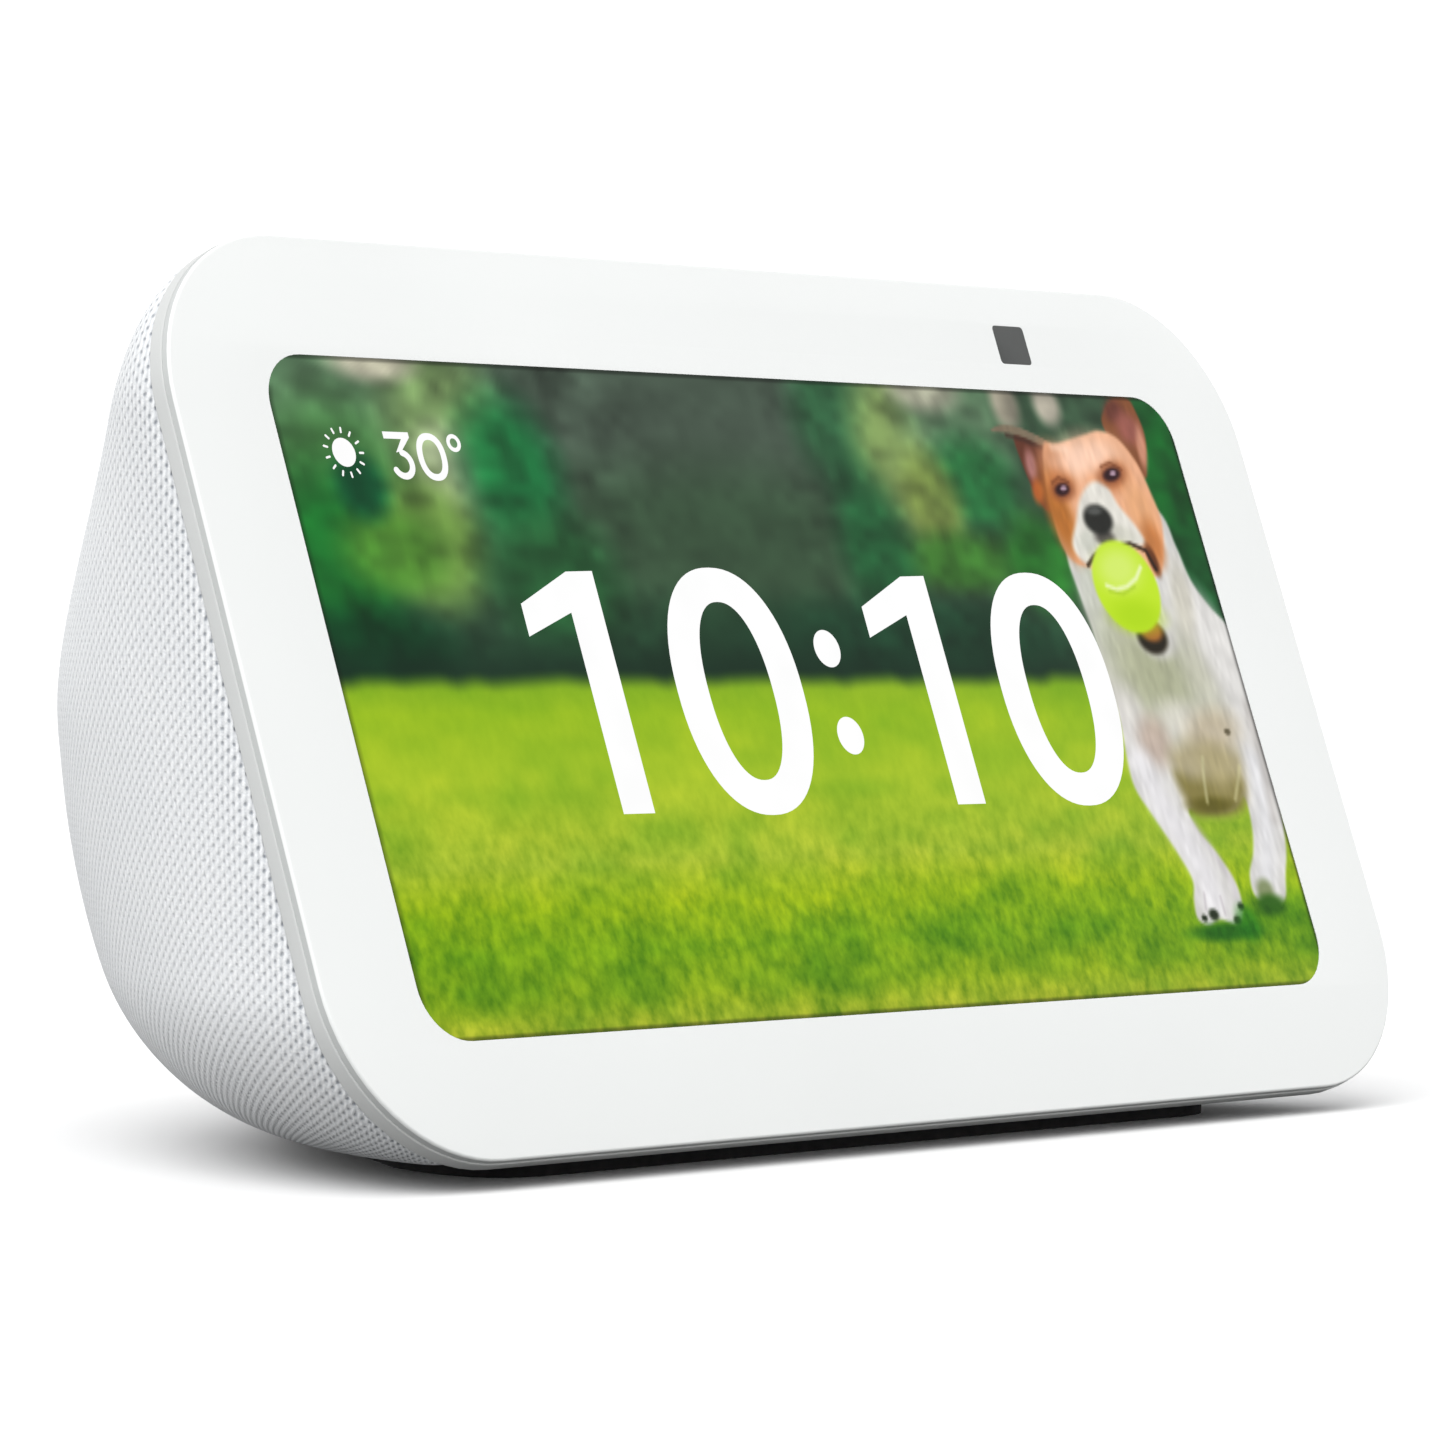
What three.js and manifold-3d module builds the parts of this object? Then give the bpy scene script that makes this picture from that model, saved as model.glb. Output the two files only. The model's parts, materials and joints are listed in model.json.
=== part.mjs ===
// Table-top smart speaker with a leaning touchscreen on the front of a knit-covered speaker body.
// Millimetres. +X is the viewer's right, -Y the side that faces the viewer and +Z up. The origin is
// on the surface that the object stands on, under the middle of the box that holds the object.
import * as THREE from "three";
import { mergeVertices } from "three/addons/utils/BufferGeometryUtils.js";
import Module from "manifold-3d";

const wasm = await Module();
wasm.setup();

// Driving dimensions: the leaning front panel, the bulging rear body and the clearances.
const panelWidth = 147;
const panelLength = 84.6;
const panelCorner = 16.2;
const panelLean = THREE.MathUtils.degToRad(20);
const panelLift = 2.5;
const rimDepth = 2.6;
const bodyDepth = 91;
const bulgeHeight = 37;
const bulgeSoftness = 0.12;
const undersideDepth = 61.5;
const sectionPower = 1.74;
const upperPower = 1.343;
const lowerPower = 1.9;
const fabricThickness = 0.9;
const wallOutside = 1.3;
const wallInside = 3.4;
const touchGap = 0.3;

// Driving dimensions: the display and what sits in the panel, in the panel's own frame, where x runs
// to the right, y up the panel from its lower edge and z out of its front face.
const displayWidth = 125;
const displayHeight = 62.5;
const displayCorner = 5;
const displayCentreY = 41.9;
const glassInset = 0.2;
const glassThickness = 0.9;
const gasketThickness = 0.3;
const rimWall = 1.2;
const rimLedge = 3.2;
const cameraX = 40.7;
const cameraY = 78.1;

// Driving dimensions: the controls on top, the driver, the power inlet and the foot.
const controlTilt = THREE.MathUtils.degToRad(-12);
const buttonSpacing = 16;
const buttonNames = ["mute", "volume_down", "volume_up"];
const firstButtonX = -34;
const buttonRowY = -8;
const buttonLength = 9;
const buttonWidth = 3.8;
const buttonRise = 0.8;
const buttonRoot = -4.6;
const switchTop = buttonRoot - 0.5;
const switchBottom = switchTop - 1.8;
const stripProud = 0.35;
const stripCentreX = 4;
const stripLength = 96;
const stripDepth = 8.6;
const microphonePlaces = { left: -42, right: 22 };
const shutterTravel = 6;
const shutterX = 34.3;
const knobWidth = 5;
const stemBack = -6.4;
const stemFront = -5.2;
const driverRadius = 22;
const driverTilt = THREE.MathUtils.degToRad(35);
const driverY = 25.2;
const driverHeight = 44;
const portHeight = 13;
const portWidth = 15;
const portTall = 10.4;
const portFloorY = 29;
const inletHousingWidth = 32;
const inletHousingTop = 27;
const footHeight = 1.9;
const footFrontY = -38;
const footRearY = 24.5;
const bottomHeight = 2.6;
const basePlateTop = 5.4;
const postPlaces = [[38, -31], [-38, -31], [18, 0], [-18, 0]];
const postFoot = 5.8;
const postTop = 12;
const ribHalf = 0.8;

// Values worked out from them.
const leanSin = Math.sin(panelLean);
const leanCos = Math.cos(panelLean);
const frontY = -bodyDepth / 2;
const rimBottom = panelLift - rimDepth * leanSin;
const rimTop = rimBottom + panelLength * leanCos;

const looks = {
  whitePlastic: { color: 0xf1f3f3, roughness: 0.45, metalness: 0 },
  glass: { color: 0xf4f6f6, roughness: 0.08, metalness: 0 },
  screen: { color: 0x3d7a24, roughness: 0.3, metalness: 0 },
  fabric: { color: 0xd7dbe0, roughness: 0.95, metalness: 0 },
  greyPlastic: { color: 0xc9cccd, roughness: 0.6, metalness: 0 },
  blackPlastic: { color: 0x1c1d1f, roughness: 0.55, metalness: 0 },
  rubber: { color: 0x101112, roughness: 0.85, metalness: 0 },
  board: { color: 0x14532b, roughness: 0.5, metalness: 0 },
  steel: { color: 0xb5b8bb, roughness: 0.35, metalness: 1 },
  copper: { color: 0xb4703a, roughness: 0.35, metalness: 1 },
  paper: { color: 0x2a2b2d, roughness: 0.9, metalness: 0 },
  adhesive: { color: 0x26282a, roughness: 0.9, metalness: 0 },
};
const materials = Object.fromEntries(
  Object.entries(looks).map(([name, look]) => [name, new THREE.MeshStandardMaterial(look)]),
);

// --- Tools for making, cutting and joining closed solids ---

function solidOf(geometry) {
  const bare = new THREE.BufferGeometry();
  const flat = geometry.index ? geometry.toNonIndexed() : geometry;
  bare.setAttribute("position", flat.getAttribute("position"));
  const merged = mergeVertices(bare, 1e-4);
  const corners = Array.from(merged.index.array);
  const triVerts = [];
  for (let i = 0; i < corners.length; i += 3) {
    const [a, b, c] = corners.slice(i, i + 3);
    if (a !== b && b !== c && c !== a) triVerts.push(a, b, c);
  }
  const vertProperties = merged.getAttribute("position").array;
  return new wasm.Manifold(
    new wasm.Mesh({ numProp: 3, vertProperties, triVerts: new Uint32Array(triVerts) }),
  );
}

function geometryOf(solid) {
  const mesh = solid.getMesh();
  const geometry = new THREE.BufferGeometry();
  geometry.setAttribute("position", new THREE.BufferAttribute(mesh.vertProperties, 3));
  geometry.setIndex(new THREE.BufferAttribute(mesh.triVerts, 1));
  geometry.computeVertexNormals();
  return geometry;
}

function cut(base, ...tools) {
  return geometryOf(tools.reduce((left, tool) => left.subtract(solidOf(tool)), solidOf(base)));
}

function join(base, ...others) {
  return geometryOf(others.reduce((sum, other) => sum.add(solidOf(other)), solidOf(base)));
}

function common(base, other) {
  return geometryOf(solidOf(base).intersect(solidOf(other)));
}

function named(name, geometry, material) {
  const mesh = new THREE.Mesh(geometry, material);
  mesh.name = name;
  return mesh;
}

function groupOf(...children) {
  const group = new THREE.Group();
  group.add(...children);
  return group;
}

function roundedRect(width, height, corner, centreX = 0, centreY = 0) {
  const shape = new THREE.Shape();
  const x = width / 2 - corner;
  const y = height / 2 - corner;
  const quarter = Math.PI / 2;
  shape.absarc(centreX + x, centreY + y, corner, 0, quarter);
  shape.absarc(centreX - x, centreY + y, corner, quarter, 2 * quarter);
  shape.absarc(centreX - x, centreY - y, corner, 2 * quarter, 3 * quarter);
  shape.absarc(centreX + x, centreY - y, corner, 3 * quarter, 4 * quarter);
  shape.closePath();
  return shape;
}

// A bar outline with half-round ends.
function pill(length, width) {
  const shape = new THREE.Shape();
  const reach = (length - width) / 2;
  shape.absarc(reach, 0, width / 2, -Math.PI / 2, Math.PI / 2);
  shape.absarc(-reach, 0, width / 2, Math.PI / 2, 1.5 * Math.PI);
  shape.closePath();
  return shape;
}

// A plate of the shape's outline between two heights, its edges eased by the bevel.
function plate(shape, low, high, bevel = 0, curveSegments = 3) {
  const geometry = new THREE.ExtrudeGeometry(shape, {
    depth: high - low - 2 * bevel,
    bevelEnabled: bevel > 0,
    bevelThickness: bevel,
    bevelSize: bevel,
    bevelOffset: -bevel,
    bevelSegments: 2,
    curveSegments,
  });
  return geometry.translate(0, 0, low + bevel);
}

// A box from its lowest corner to its highest.
function block(low, high) {
  const size = high.map((value, i) => value - low[i]);
  const middle = high.map((value, i) => (value + low[i]) / 2);
  return new THREE.BoxGeometry(...size).translate(...middle);
}

// A solid of revolution about +Z from a profile of [radius, z] points.
function turned(profile, segments = 24) {
  const points = profile.map(([radius, z]) => new THREE.Vector2(radius, z));
  return new THREE.LatheGeometry(points, segments).rotateX(Math.PI / 2);
}

function rod(radius, low, high, segments = 16) {
  return turned([[0, low], [radius, low], [radius, high], [0, high]], segments);
}

// A round lead along the smooth curve through the points.
function lead(points, radius, steps) {
  const path = new THREE.CatmullRomCurve3(points.map((point) => new THREE.Vector3(...point)));
  const section = new THREE.Shape().absarc(0, 0, radius, 0, 2 * Math.PI);
  return new THREE.ExtrudeGeometry(section, { extrudePath: path, steps, curveSegments: 4 });
}

// --- The rear body's surface ---

// The panel's rear edge leans back with the panel.
function rimRearY(z) {
  return frontY + (z - panelLift) * Math.tan(panelLean) + rimDepth / leanCos;
}

// Half the body's width at a height: the panel's outline, with its round corners.
function halfWidth(z, inset) {
  const along = (z - rimBottom) / leanCos;
  const edge = Math.min(along, panelLength - along) - inset;
  const corner = panelCorner - inset;
  const into = THREE.MathUtils.clamp(corner - edge, 0, corner);
  return panelWidth / 2 - inset - corner + Math.sqrt(corner ** 2 - into ** 2);
}

// The body's rearmost point at a height: a quarter superellipse above the bulge and one below it,
// eased where they meet.
function rearY(z, inset) {
  const upper = z >= bulgeHeight;
  const end = upper ? rimTop - inset : rimBottom + inset;
  const start = upper ? rimRearY(end) : frontY + undersideDepth - inset;
  const power = upper ? upperPower : lowerPower;
  const rise = THREE.MathUtils.clamp((z - bulgeHeight) / (end - bulgeHeight), 0, 1);
  const span = Math.hypot(1, bulgeSoftness) - bulgeSoftness;
  const eased = Math.min((Math.hypot(rise, bulgeSoftness) - bulgeSoftness) / span, 1);
  return start + (bodyDepth / 2 - inset - start) * (1 - eased ** power) ** (1 / power);
}

// A level section, a half superellipse behind the panel, run forward by an extra distance.
function section(z, inset, forward, count) {
  const width = halfWidth(z, inset);
  const start = rimRearY(z);
  const depth = rearY(z, inset) - start;
  const points = forward > 0 ? [[width, start - forward, z]] : [];
  for (let i = 0; i <= count; i += 1) {
    const angle = (Math.PI * i) / count;
    const across = Math.cos(angle);
    const x = width * Math.sign(across) * Math.abs(across) ** (2 / sectionPower);
    points.push([x, start + depth * Math.sin(angle) ** (2 / sectionPower), z]);
  }
  if (forward > 0) points.push([-width, start - forward, z]);
  return points;
}

// Heights from the bottom to the top, closest together where the body curves most.
function bodyLevels(bottom, inset, count) {
  const top = rimTop - inset;
  const base = rimBottom + inset;
  const lowest = Math.asin((bulgeHeight - Math.max(bottom, base)) / (bulgeHeight - base));
  const highest = 1.48;
  const levels = bottom < base ? [bottom] : [];
  for (let i = 0; i <= count; i += 1) {
    levels.push(bulgeHeight - (bulgeHeight - base) * Math.sin(lowest * (1 - i / count)));
  }
  for (let i = 1; i <= count; i += 1) {
    levels.push(bulgeHeight + (top - bulgeHeight) * Math.sin((highest * i) / count));
  }
  return levels;
}

// The whole body as a solid, drawn in by an inset, cut level at the bottom.
function bodySolid(inset, bottom, forward = 0, around = 22, up = 7) {
  const rings = bodyLevels(bottom, inset, up).map((z) => section(z, inset, forward, around));
  const size = rings[0].length;
  const corners = [];
  const index = (ring, i) => ring * size + (i % size);
  for (let ring = 0; ring < rings.length - 1; ring += 1) {
    for (let i = 0; i < size; i += 1) {
      corners.push(index(ring, i), index(ring, i + 1), index(ring + 1, i + 1));
      corners.push(index(ring, i), index(ring + 1, i + 1), index(ring + 1, i));
    }
  }
  const last = rings.length - 1;
  for (let i = 1; i < size - 1; i += 1) {
    corners.push(index(0, 0), index(0, i + 1), index(0, i));
    corners.push(index(last, 0), index(last, i), index(last, i + 1));
  }
  const geometry = new THREE.BufferGeometry();
  geometry.setAttribute("position", new THREE.Float32BufferAttribute(rings.flat(2), 3));
  geometry.setIndex(corners);
  return geometry;
}

// --- Shared cutting tools ---

// The pill outline of the control strip, seen from above.
function stripPrism(grow) {
  const outline = pill(stripLength + 2 * grow, stripDepth + 2 * grow);
  return plate(outline, rimTop - 20, rimTop + 10).translate(stripCentreX, buttonRowY + 0.4, 0);
}

function buttonX(number) {
  return firstButtonX + buttonSpacing * number;
}

// A button's pill from a depth below the strip to a height above it, about the button's own axis.
function buttonPill(number, grow, low, high) {
  const outline = pill(buttonLength + 2 * grow, buttonWidth + 2 * grow);
  const easing = grow > 0 ? 0 : 0.3;
  return plate(outline, low, high, easing)
    .rotateX(controlTilt)
    .translate(buttonX(number), buttonRowY, buttonTop(number));
}

// The body's surface height over a button, by halving.
function surfaceHeight(x, y) {
  let low = bulgeHeight;
  let high = rimTop - 0.1;
  for (let i = 0; i < 40; i += 1) {
    const z = (low + high) / 2;
    const start = rimRearY(z);
    const fraction = Math.abs(x) / halfWidth(z, 0);
    const edge = start + (rearY(z, 0) - start) * (1 - fraction ** sectionPower) ** (1 / sectionPower);
    if (fraction < 1 && edge > y) low = z;
    else high = z;
  }
  return low;
}

function buttonTop(number) {
  return surfaceHeight(buttonX(number), buttonRowY) + stripProud;
}

function microphoneHoles() {
  return Object.values(microphonePlaces).map((x) =>
    rod(0.6, rimTop - 12, rimTop + 5, 8).translate(x, buttonRowY + 1, 0));
}

// The slot that the shutter's stem slides in.
function shutterSlot() {
  const low = shutterX - knobWidth / 2 - touchGap;
  const high = shutterX + knobWidth / 2 + shutterTravel + touchGap;
  const forStem = block([low, 76, stemBack - touchGap], [high, 92, stemFront + touchGap]);
  const forWeb = block([low, 76, stemBack - touchGap], [high, 81 + touchGap, -2]);
  return inPanel(join(forStem, forWeb));
}

// Moves a geometry from the panel's frame to the object's.
function inPanel(geometry) {
  return geometry.rotateX(Math.PI / 2 - panelLean).translate(0, frontY, panelLift);
}

// The power inlet's outline, run out of the back from a depth inside.
function portPrism(grow, innerY) {
  const outline = roundedRect(portWidth + 2 * grow, portTall + 2 * grow, 3 + grow);
  return plate(outline, -50, -innerY).rotateX(Math.PI / 2).translate(0, 0, portHeight);
}

// The part of the shell round the power inlet that is a piece of its own.
function inletWindow(grow) {
  const half = inletHousingWidth / 2 + grow;
  return block([-half, 15, 0], [half, bodyDepth, inletHousingTop + grow]);
}

// --- The front panel's pieces, in the panel's own frame ---

// The panel's outline drawn in by an inset.
function panelOutline(inset) {
  const width = panelWidth - 2 * inset;
  const length = panelLength - 2 * inset;
  return roundedRect(width, length, panelCorner - inset, 0, panelLength / 2);
}

// The rim behind the glass: an outer wall with a ledge inside it for the gasket, open in the middle.
function frontBezel() {
  const front = -glassThickness - touchGap;
  const ledge = front - gasketThickness;
  return cut(
    plate(panelOutline(0), -rimDepth, front),
    plate(panelOutline(rimWall), ledge, 1),
    plate(panelOutline(rimLedge), -rimDepth - 1, 0),
  );
}

function coverGlass() {
  return plate(panelOutline(glassInset), -glassThickness, 0, 0.25);
}

function glassGasket() {
  const front = -glassThickness - gasketThickness / 2;
  const ring = plate(panelOutline(rimWall + touchGap), front - gasketThickness, front);
  return cut(ring, plate(panelOutline(rimLedge - touchGap), -rimDepth, 0));
}

function displayModule() {
  const [width, height] = [displayWidth + 2.6, displayHeight + 3.4];
  const outline = roundedRect(width, height, displayCorner, 0, displayCentreY);
  return plate(outline, -3.3, -glassThickness - touchGap);
}

function backlightTray() {
  const base = plate(roundedRect(129, 67, 8, 0, displayCentreY), -5.2, -3.6);
  const pocket = plate(roundedRect(120, 58, 4, 0, displayCentreY), -4.2, -3);
  return cut(base, pocket);
}

function chassis() {
  const tray = plate(roundedRect(136, 70.6, 10, 0, 42.2), -7.1, -2.9);
  const pocket = plate(roundedRect(133.6, 68.2, 8.8, 0, 42.2), -5.6, -1);
  const cameraNotch = block([35.4, 75.7, -8], [46, 79, -1]);
  const flexNotch = block([-10, 6, -8], [10, 8.2, -1]);
  const lightening = [-36, 0, 36].map((x) => plate(roundedRect(26, 40, 4, x, 43), -8, -4));
  return cut(tray, pocket, cameraNotch, flexNotch, ...lightening);
}

function cameraModule() {
  const body = block([cameraX - 4, 76, -6.5], [cameraX + 4, 80, -3]);
  const barrel = rod(1.8, -4, -2, 20).translate(cameraX, cameraY, 0);
  const lensHollow = rod(1.1, -2.6, -1, 16).translate(cameraX, cameraY, 0);
  return cut(join(body, barrel), lensHollow);
}

function displayFlex() {
  const profile = new THREE.Shape();
  profile.moveTo(7.3, -1.8);
  profile.lineTo(7.3, -8.9);
  profile.lineTo(26, -8.9);
  profile.lineTo(26, -8.6);
  profile.lineTo(7.6, -8.6);
  profile.lineTo(7.6, -1.8);
  profile.closePath();
  const band = new THREE.ExtrudeGeometry(profile, { depth: 18, bevelEnabled: false });
  const upright = new THREE.Matrix4().makeBasis(
    new THREE.Vector3(0, 1, 0),
    new THREE.Vector3(0, 0, 1),
    new THREE.Vector3(1, 0, 0),
  );
  return band.applyMatrix4(upright).translate(-9, 0, 0);
}

function mainBoard() {
  const board = plate(roundedRect(104, 46, 2, 0, 43), -10.7, -9.5);
  const displaySocket = block([-10, 22, -12.2], [10, 25, -10.5]);
  const powerSocket = block([14, 24, -13], [22, 29, -10.5]);
  const audioSocket = block([30, 24, -13], [38, 29, -10.5]);
  return join(board, displaySocket, powerSocket, audioSocket);
}

function processorShield() {
  return block([-44, 30, -13.6], [-8, 58, -11]);
}

function heatSpreader() {
  const sheet = block([-50, 32, -14.9], [12, 62, -14.1]);
  const fins = [-46, -37, -28, -19, -10, -1, 8].map((x) => block([x, 33, -18], [x + 1, 61, -14.5]));
  return join(sheet, ...fins);
}

// The shutter is one moulding: the blade behind the glass, a web, the stem and the knob on top.
function cameraShutter() {
  const low = shutterX - knobWidth / 2;
  const high = shutterX + knobWidth / 2;
  const blade = block([low - 0.8, 75.4, -1.7], [high + 0.8, 81, -1.2]);
  const web = block([low, 80.3, stemBack], [high, 81, -1.2]);
  const stem = block([low, 80.3, stemBack], [high, 85.6, stemFront]);
  const knobOutline = roundedRect(knobWidth, 2.6, 1.2, shutterX, 5.8);
  const knob = plate(knobOutline, 85.5, 86.5, 0.3).rotateX(-Math.PI / 2);
  return join(blade, web, stem, knob);
}

function frontPanel() {
  const group = groupOf(
    named("front_bezel_frame", frontBezel(), materials.whitePlastic),
    named("cover_glass", coverGlass(), materials.glass),
    named("glass_gasket", glassGasket(), materials.adhesive),
    named("display_module", displayModule(), materials.screen),
    named("backlight_tray", backlightTray(), materials.steel),
    named("display_chassis", chassis(), materials.blackPlastic),
    named("display_flex", displayFlex(), materials.copper),
    named("camera_module", cameraModule(), materials.blackPlastic),
    named("camera_shutter", cameraShutter(), materials.whitePlastic),
    named("main_board", mainBoard(), materials.board),
    named("processor_shield", processorShield(), materials.steel),
    named("heat_spreader", heatSpreader(), materials.steel),
  );
  group.rotation.x = Math.PI / 2 - panelLean;
  group.position.set(0, frontY, panelLift);
  return group;
}

// --- The covered body ---

function fabricCover() {
  const hollow = bodySolid(fabricThickness, bottomHeight - 1.3, 1);
  return cut(bodySolid(0, bottomHeight - 0.3), hollow, stripPrism(touchGap), portPrism(touchGap, 20));
}

// A screw post for the base plate, with the rib that ties it to the wall.
function screwPost([x, y]) {
  const post = rod(3.2, postFoot, postTop, 16).translate(x, y, 0);
  const wallX = (Math.sign(x) * panelWidth) / 2;
  const low = Math.min(x, wallX);
  const high = Math.max(x, wallX);
  const toSide = block([low, y - ribHalf, postFoot], [high, y + ribHalf, postTop - 1]);
  const toBack = block([x - ribHalf, y + 1, postFoot], [x + ribHalf, bodyDepth / 2, postTop - 1]);
  return join(post, y < 0 ? toSide : toBack);
}

// Slots in front of the driver, across a round field.
function driverSlots() {
  const slots = [];
  for (let row = -3; row <= 3; row += 1) {
    const height = row * 5;
    const half = Math.sqrt(18 ** 2 - height ** 2);
    slots.push(inDriver(block([-half, height - 1.3, -1], [half, height + 1.3, 25])));
  }
  return slots;
}

function rearHousing() {
  const outer = bodySolid(wallOutside, bottomHeight);
  const shell = cut(outer, bodySolid(wallInside, bottomHeight - 1, 1));
  const ribs = common(join(...postPlaces.map(screwPost)), outer);
  const screwHoles = postPlaces.map(([x, y]) => rod(1.5, 4, postTop - 2, 12).translate(x, y, 0));
  const buttonHoles = buttonNames.map((name, i) => buttonPill(i, touchGap, -12, 6));
  const holes = [shutterSlot(), ...microphoneHoles(), inletWindow(touchGap)];
  return cut(join(shell, ribs), ...holes, ...buttonHoles, ...screwHoles, ...driverSlots());
}

// The moulding that carries the power inlet, set into the rear housing's lower edge.
function inletHousing() {
  const shell = cut(bodySolid(wallOutside, bottomHeight), bodySolid(wallInside, bottomHeight - 1, 1));
  return cut(common(shell, inletWindow(0)), portPrism(touchGap, 20));
}

function controlStrip() {
  const skin = cut(bodySolid(-stripProud, 20), bodySolid(1, 19, 1));
  const strip = common(skin, stripPrism(0));
  const buttonHoles = buttonNames.map((name, i) => buttonPill(i, touchGap, -12, 6));
  return cut(strip, shutterSlot(), ...microphoneHoles(), ...buttonHoles);
}

function topControls() {
  const buttons = buttonNames.map((name, i) =>
    named(`button_${name}`, buttonPill(i, 0, buttonRoot, buttonRise), materials.whitePlastic));
  const switches = buttonNames.map((name, i) =>
    named(`switch_${name}`, tactileSwitch(i), materials.blackPlastic));
  return groupOf(
    named("top_control_strip", controlStrip(), materials.whitePlastic),
    ...buttons,
    ...switches,
    named("button_board", buttonBoard(), materials.board),
    named("microphone_left", microphone(microphonePlaces.left), materials.steel),
    named("microphone_right", microphone(microphonePlaces.right), materials.steel),
  );
}

// A push switch under a button: a square case and the round plunger that the button presses.
function tactileSwitch(number) {
  const foot = switchBottom - (buttonTop(number) - buttonTop(0));
  const body = block([-2.2, -2, foot], [2.2, 2, switchTop - 0.6]);
  const plunger = rod(1, switchTop - 0.8, switchTop, 12);
  return join(body, plunger).rotateX(controlTilt).translate(buttonX(number), buttonRowY, buttonTop(number));
}

function buttonBoard() {
  const top = switchBottom - touchGap;
  return plate(roundedRect(72, 5.6, 1, -10, 0.9), top - 1, top)
    .rotateX(controlTilt)
    .translate(0, buttonRowY, buttonTop(0));
}

function microphone(x) {
  return block([-1.4, 0.2, switchBottom], [1.4, 2.2, switchBottom + 0.9])
    .rotateX(controlTilt)
    .translate(x, buttonRowY, buttonTop(0));
}

// --- The loudspeaker, in its own frame: z points out of the back of the body ---

function inDriver(geometry) {
  return geometry.rotateX(driverTilt - Math.PI / 2).translate(0, driverY, driverHeight);
}

function basket() {
  const profile = [
    [7.6, -12.6], [13.2, -12.6], [20.2, -1.2], [driverRadius, -1.2], [driverRadius, 0],
    [20.9, 0], [20.9, -0.8], [19.6, -0.8], [12.8, -11.6], [7.6, -11.6], [7.6, -12.6],
  ];
  return inDriver(turned(profile));
}

function surround() {
  const profile = [
    [17.1, -0.5], [17.6, -0.5], [18.9, 0.9], [20.6, 0.1], [20.6, 0.6], [18.9, 1.4], [17.1, 0],
    [17.1, -0.5],
  ];
  return inDriver(turned(profile));
}

function cone() {
  const profile = [[6.9, -7.6], [7.5, -7.6], [16.8, -1.1], [16.8, -0.5], [6.9, -6.9], [6.9, -7.6]];
  return inDriver(turned(profile));
}

function dustCap() {
  const profile = [[0, -5.6], [3.4, -6.2], [6.5, -8], [6.5, -7.4], [3.4, -5.5], [0, -4.9]];
  return inDriver(turned(profile));
}

function voiceCoil() {
  return inDriver(turned([[5.9, -17], [6.5, -17], [6.5, -8.4], [5.9, -8.4], [5.9, -17]]));
}

function spider() {
  const profile = [
    [6.8, -9.6], [8.4, -9], [10, -9.9], [11.6, -9.2], [11.6, -8.9], [10, -9.5], [8.4, -8.6], [6.8, -9.2],
    [6.8, -9.6],
  ];
  return inDriver(turned(profile));
}

function magnet() {
  const profile = [
    [0, -21], [13, -21], [13, -12.9], [7.3, -12.9], [7.3, -19], [5.1, -19], [5.1, -12], [0, -12],
  ];
  return inDriver(turned(profile));
}

function enclosure() {
  const profile = [
    [0, -24.5], [16.1, -24.5], [17.1, -23.5], [17.1, -10.2], [24, -9], [24, -1.6], [22.4, -1.6],
    [22.4, -7.8], [15.9, -9], [15.9, -23.2], [0, -23.2],
  ];
  const leadHole = inDriver(rod(1.6, -30, -20, 12)).translate(0, 0, -4);
  return cut(inDriver(turned(profile)), leadHole);
}

function loudspeaker() {
  return groupOf(
    named("speaker_basket", basket(), materials.steel),
    named("speaker_surround", surround(), materials.rubber),
    named("speaker_cone", cone(), materials.paper),
    named("dust_cap", dustCap(), materials.paper),
    named("voice_coil", voiceCoil(), materials.copper),
    named("speaker_spider", spider(), materials.paper),
    named("speaker_magnet", magnet(), materials.steel),
    named("speaker_enclosure", enclosure(), materials.blackPlastic),
  );
}

// --- Power inlet, base and foot ---

function portBezel() {
  const skin = common(portPrism(0, portFloorY), bodySolid(-stripProud, 5));
  const mouth = plate(roundedRect(portWidth - 3, portTall - 3, 2), -60, -portFloorY - 1.6);
  const plugHole = rod(3.4, -60, -20, 20);
  return cut(skin, join(mouth, plugHole).rotateX(Math.PI / 2).translate(0, 0, portHeight));
}

function powerSocket() {
  const rear = portFloorY - touchGap;
  const jack = block([-4.5, 18.5, portHeight - 4], [4.5, rear, portHeight + 4]);
  const bore = rod(2.9, -rear - 1, -20, 20);
  const pin = rod(0.8, -rear + 1, -19, 12);
  const hollow = cut(bore, pin).rotateX(Math.PI / 2).translate(0, 0, portHeight);
  return cut(jack, hollow);
}

function powerBoard() {
  return block([-9, 12, portHeight - 5.6], [9, 22, portHeight - 4.4]);
}

function basePlate() {
  const level = rimBottom + wallInside;
  const edge = section(level, wallInside + touchGap + 0.1, 0, 20);
  const outline = edge.map(([x, y]) => new THREE.Vector2(x, y));
  const holes = postPlaces.map(([x, y]) => rod(1.6, 2, 8, 12).translate(x, y, 0));
  const recesses = postPlaces.map(([x, y]) => rod(2.9, 2, bottomHeight + 1.1, 16).translate(x, y, 0));
  return cut(plate(new THREE.Shape(outline), bottomHeight, basePlateTop), ...holes, ...recesses);
}

function baseScrew([x, y]) {
  const screwHead = bottomHeight + 0.1;
  const profile = [
    [0, screwHead], [2.4, screwHead], [2.4, screwHead + 0.7], [1.2, screwHead + 1.1],
    [1.2, postTop - 3], [0, postTop - 2.4],
  ];
  return turned(profile, 12).translate(x, y, 0);
}

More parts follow.
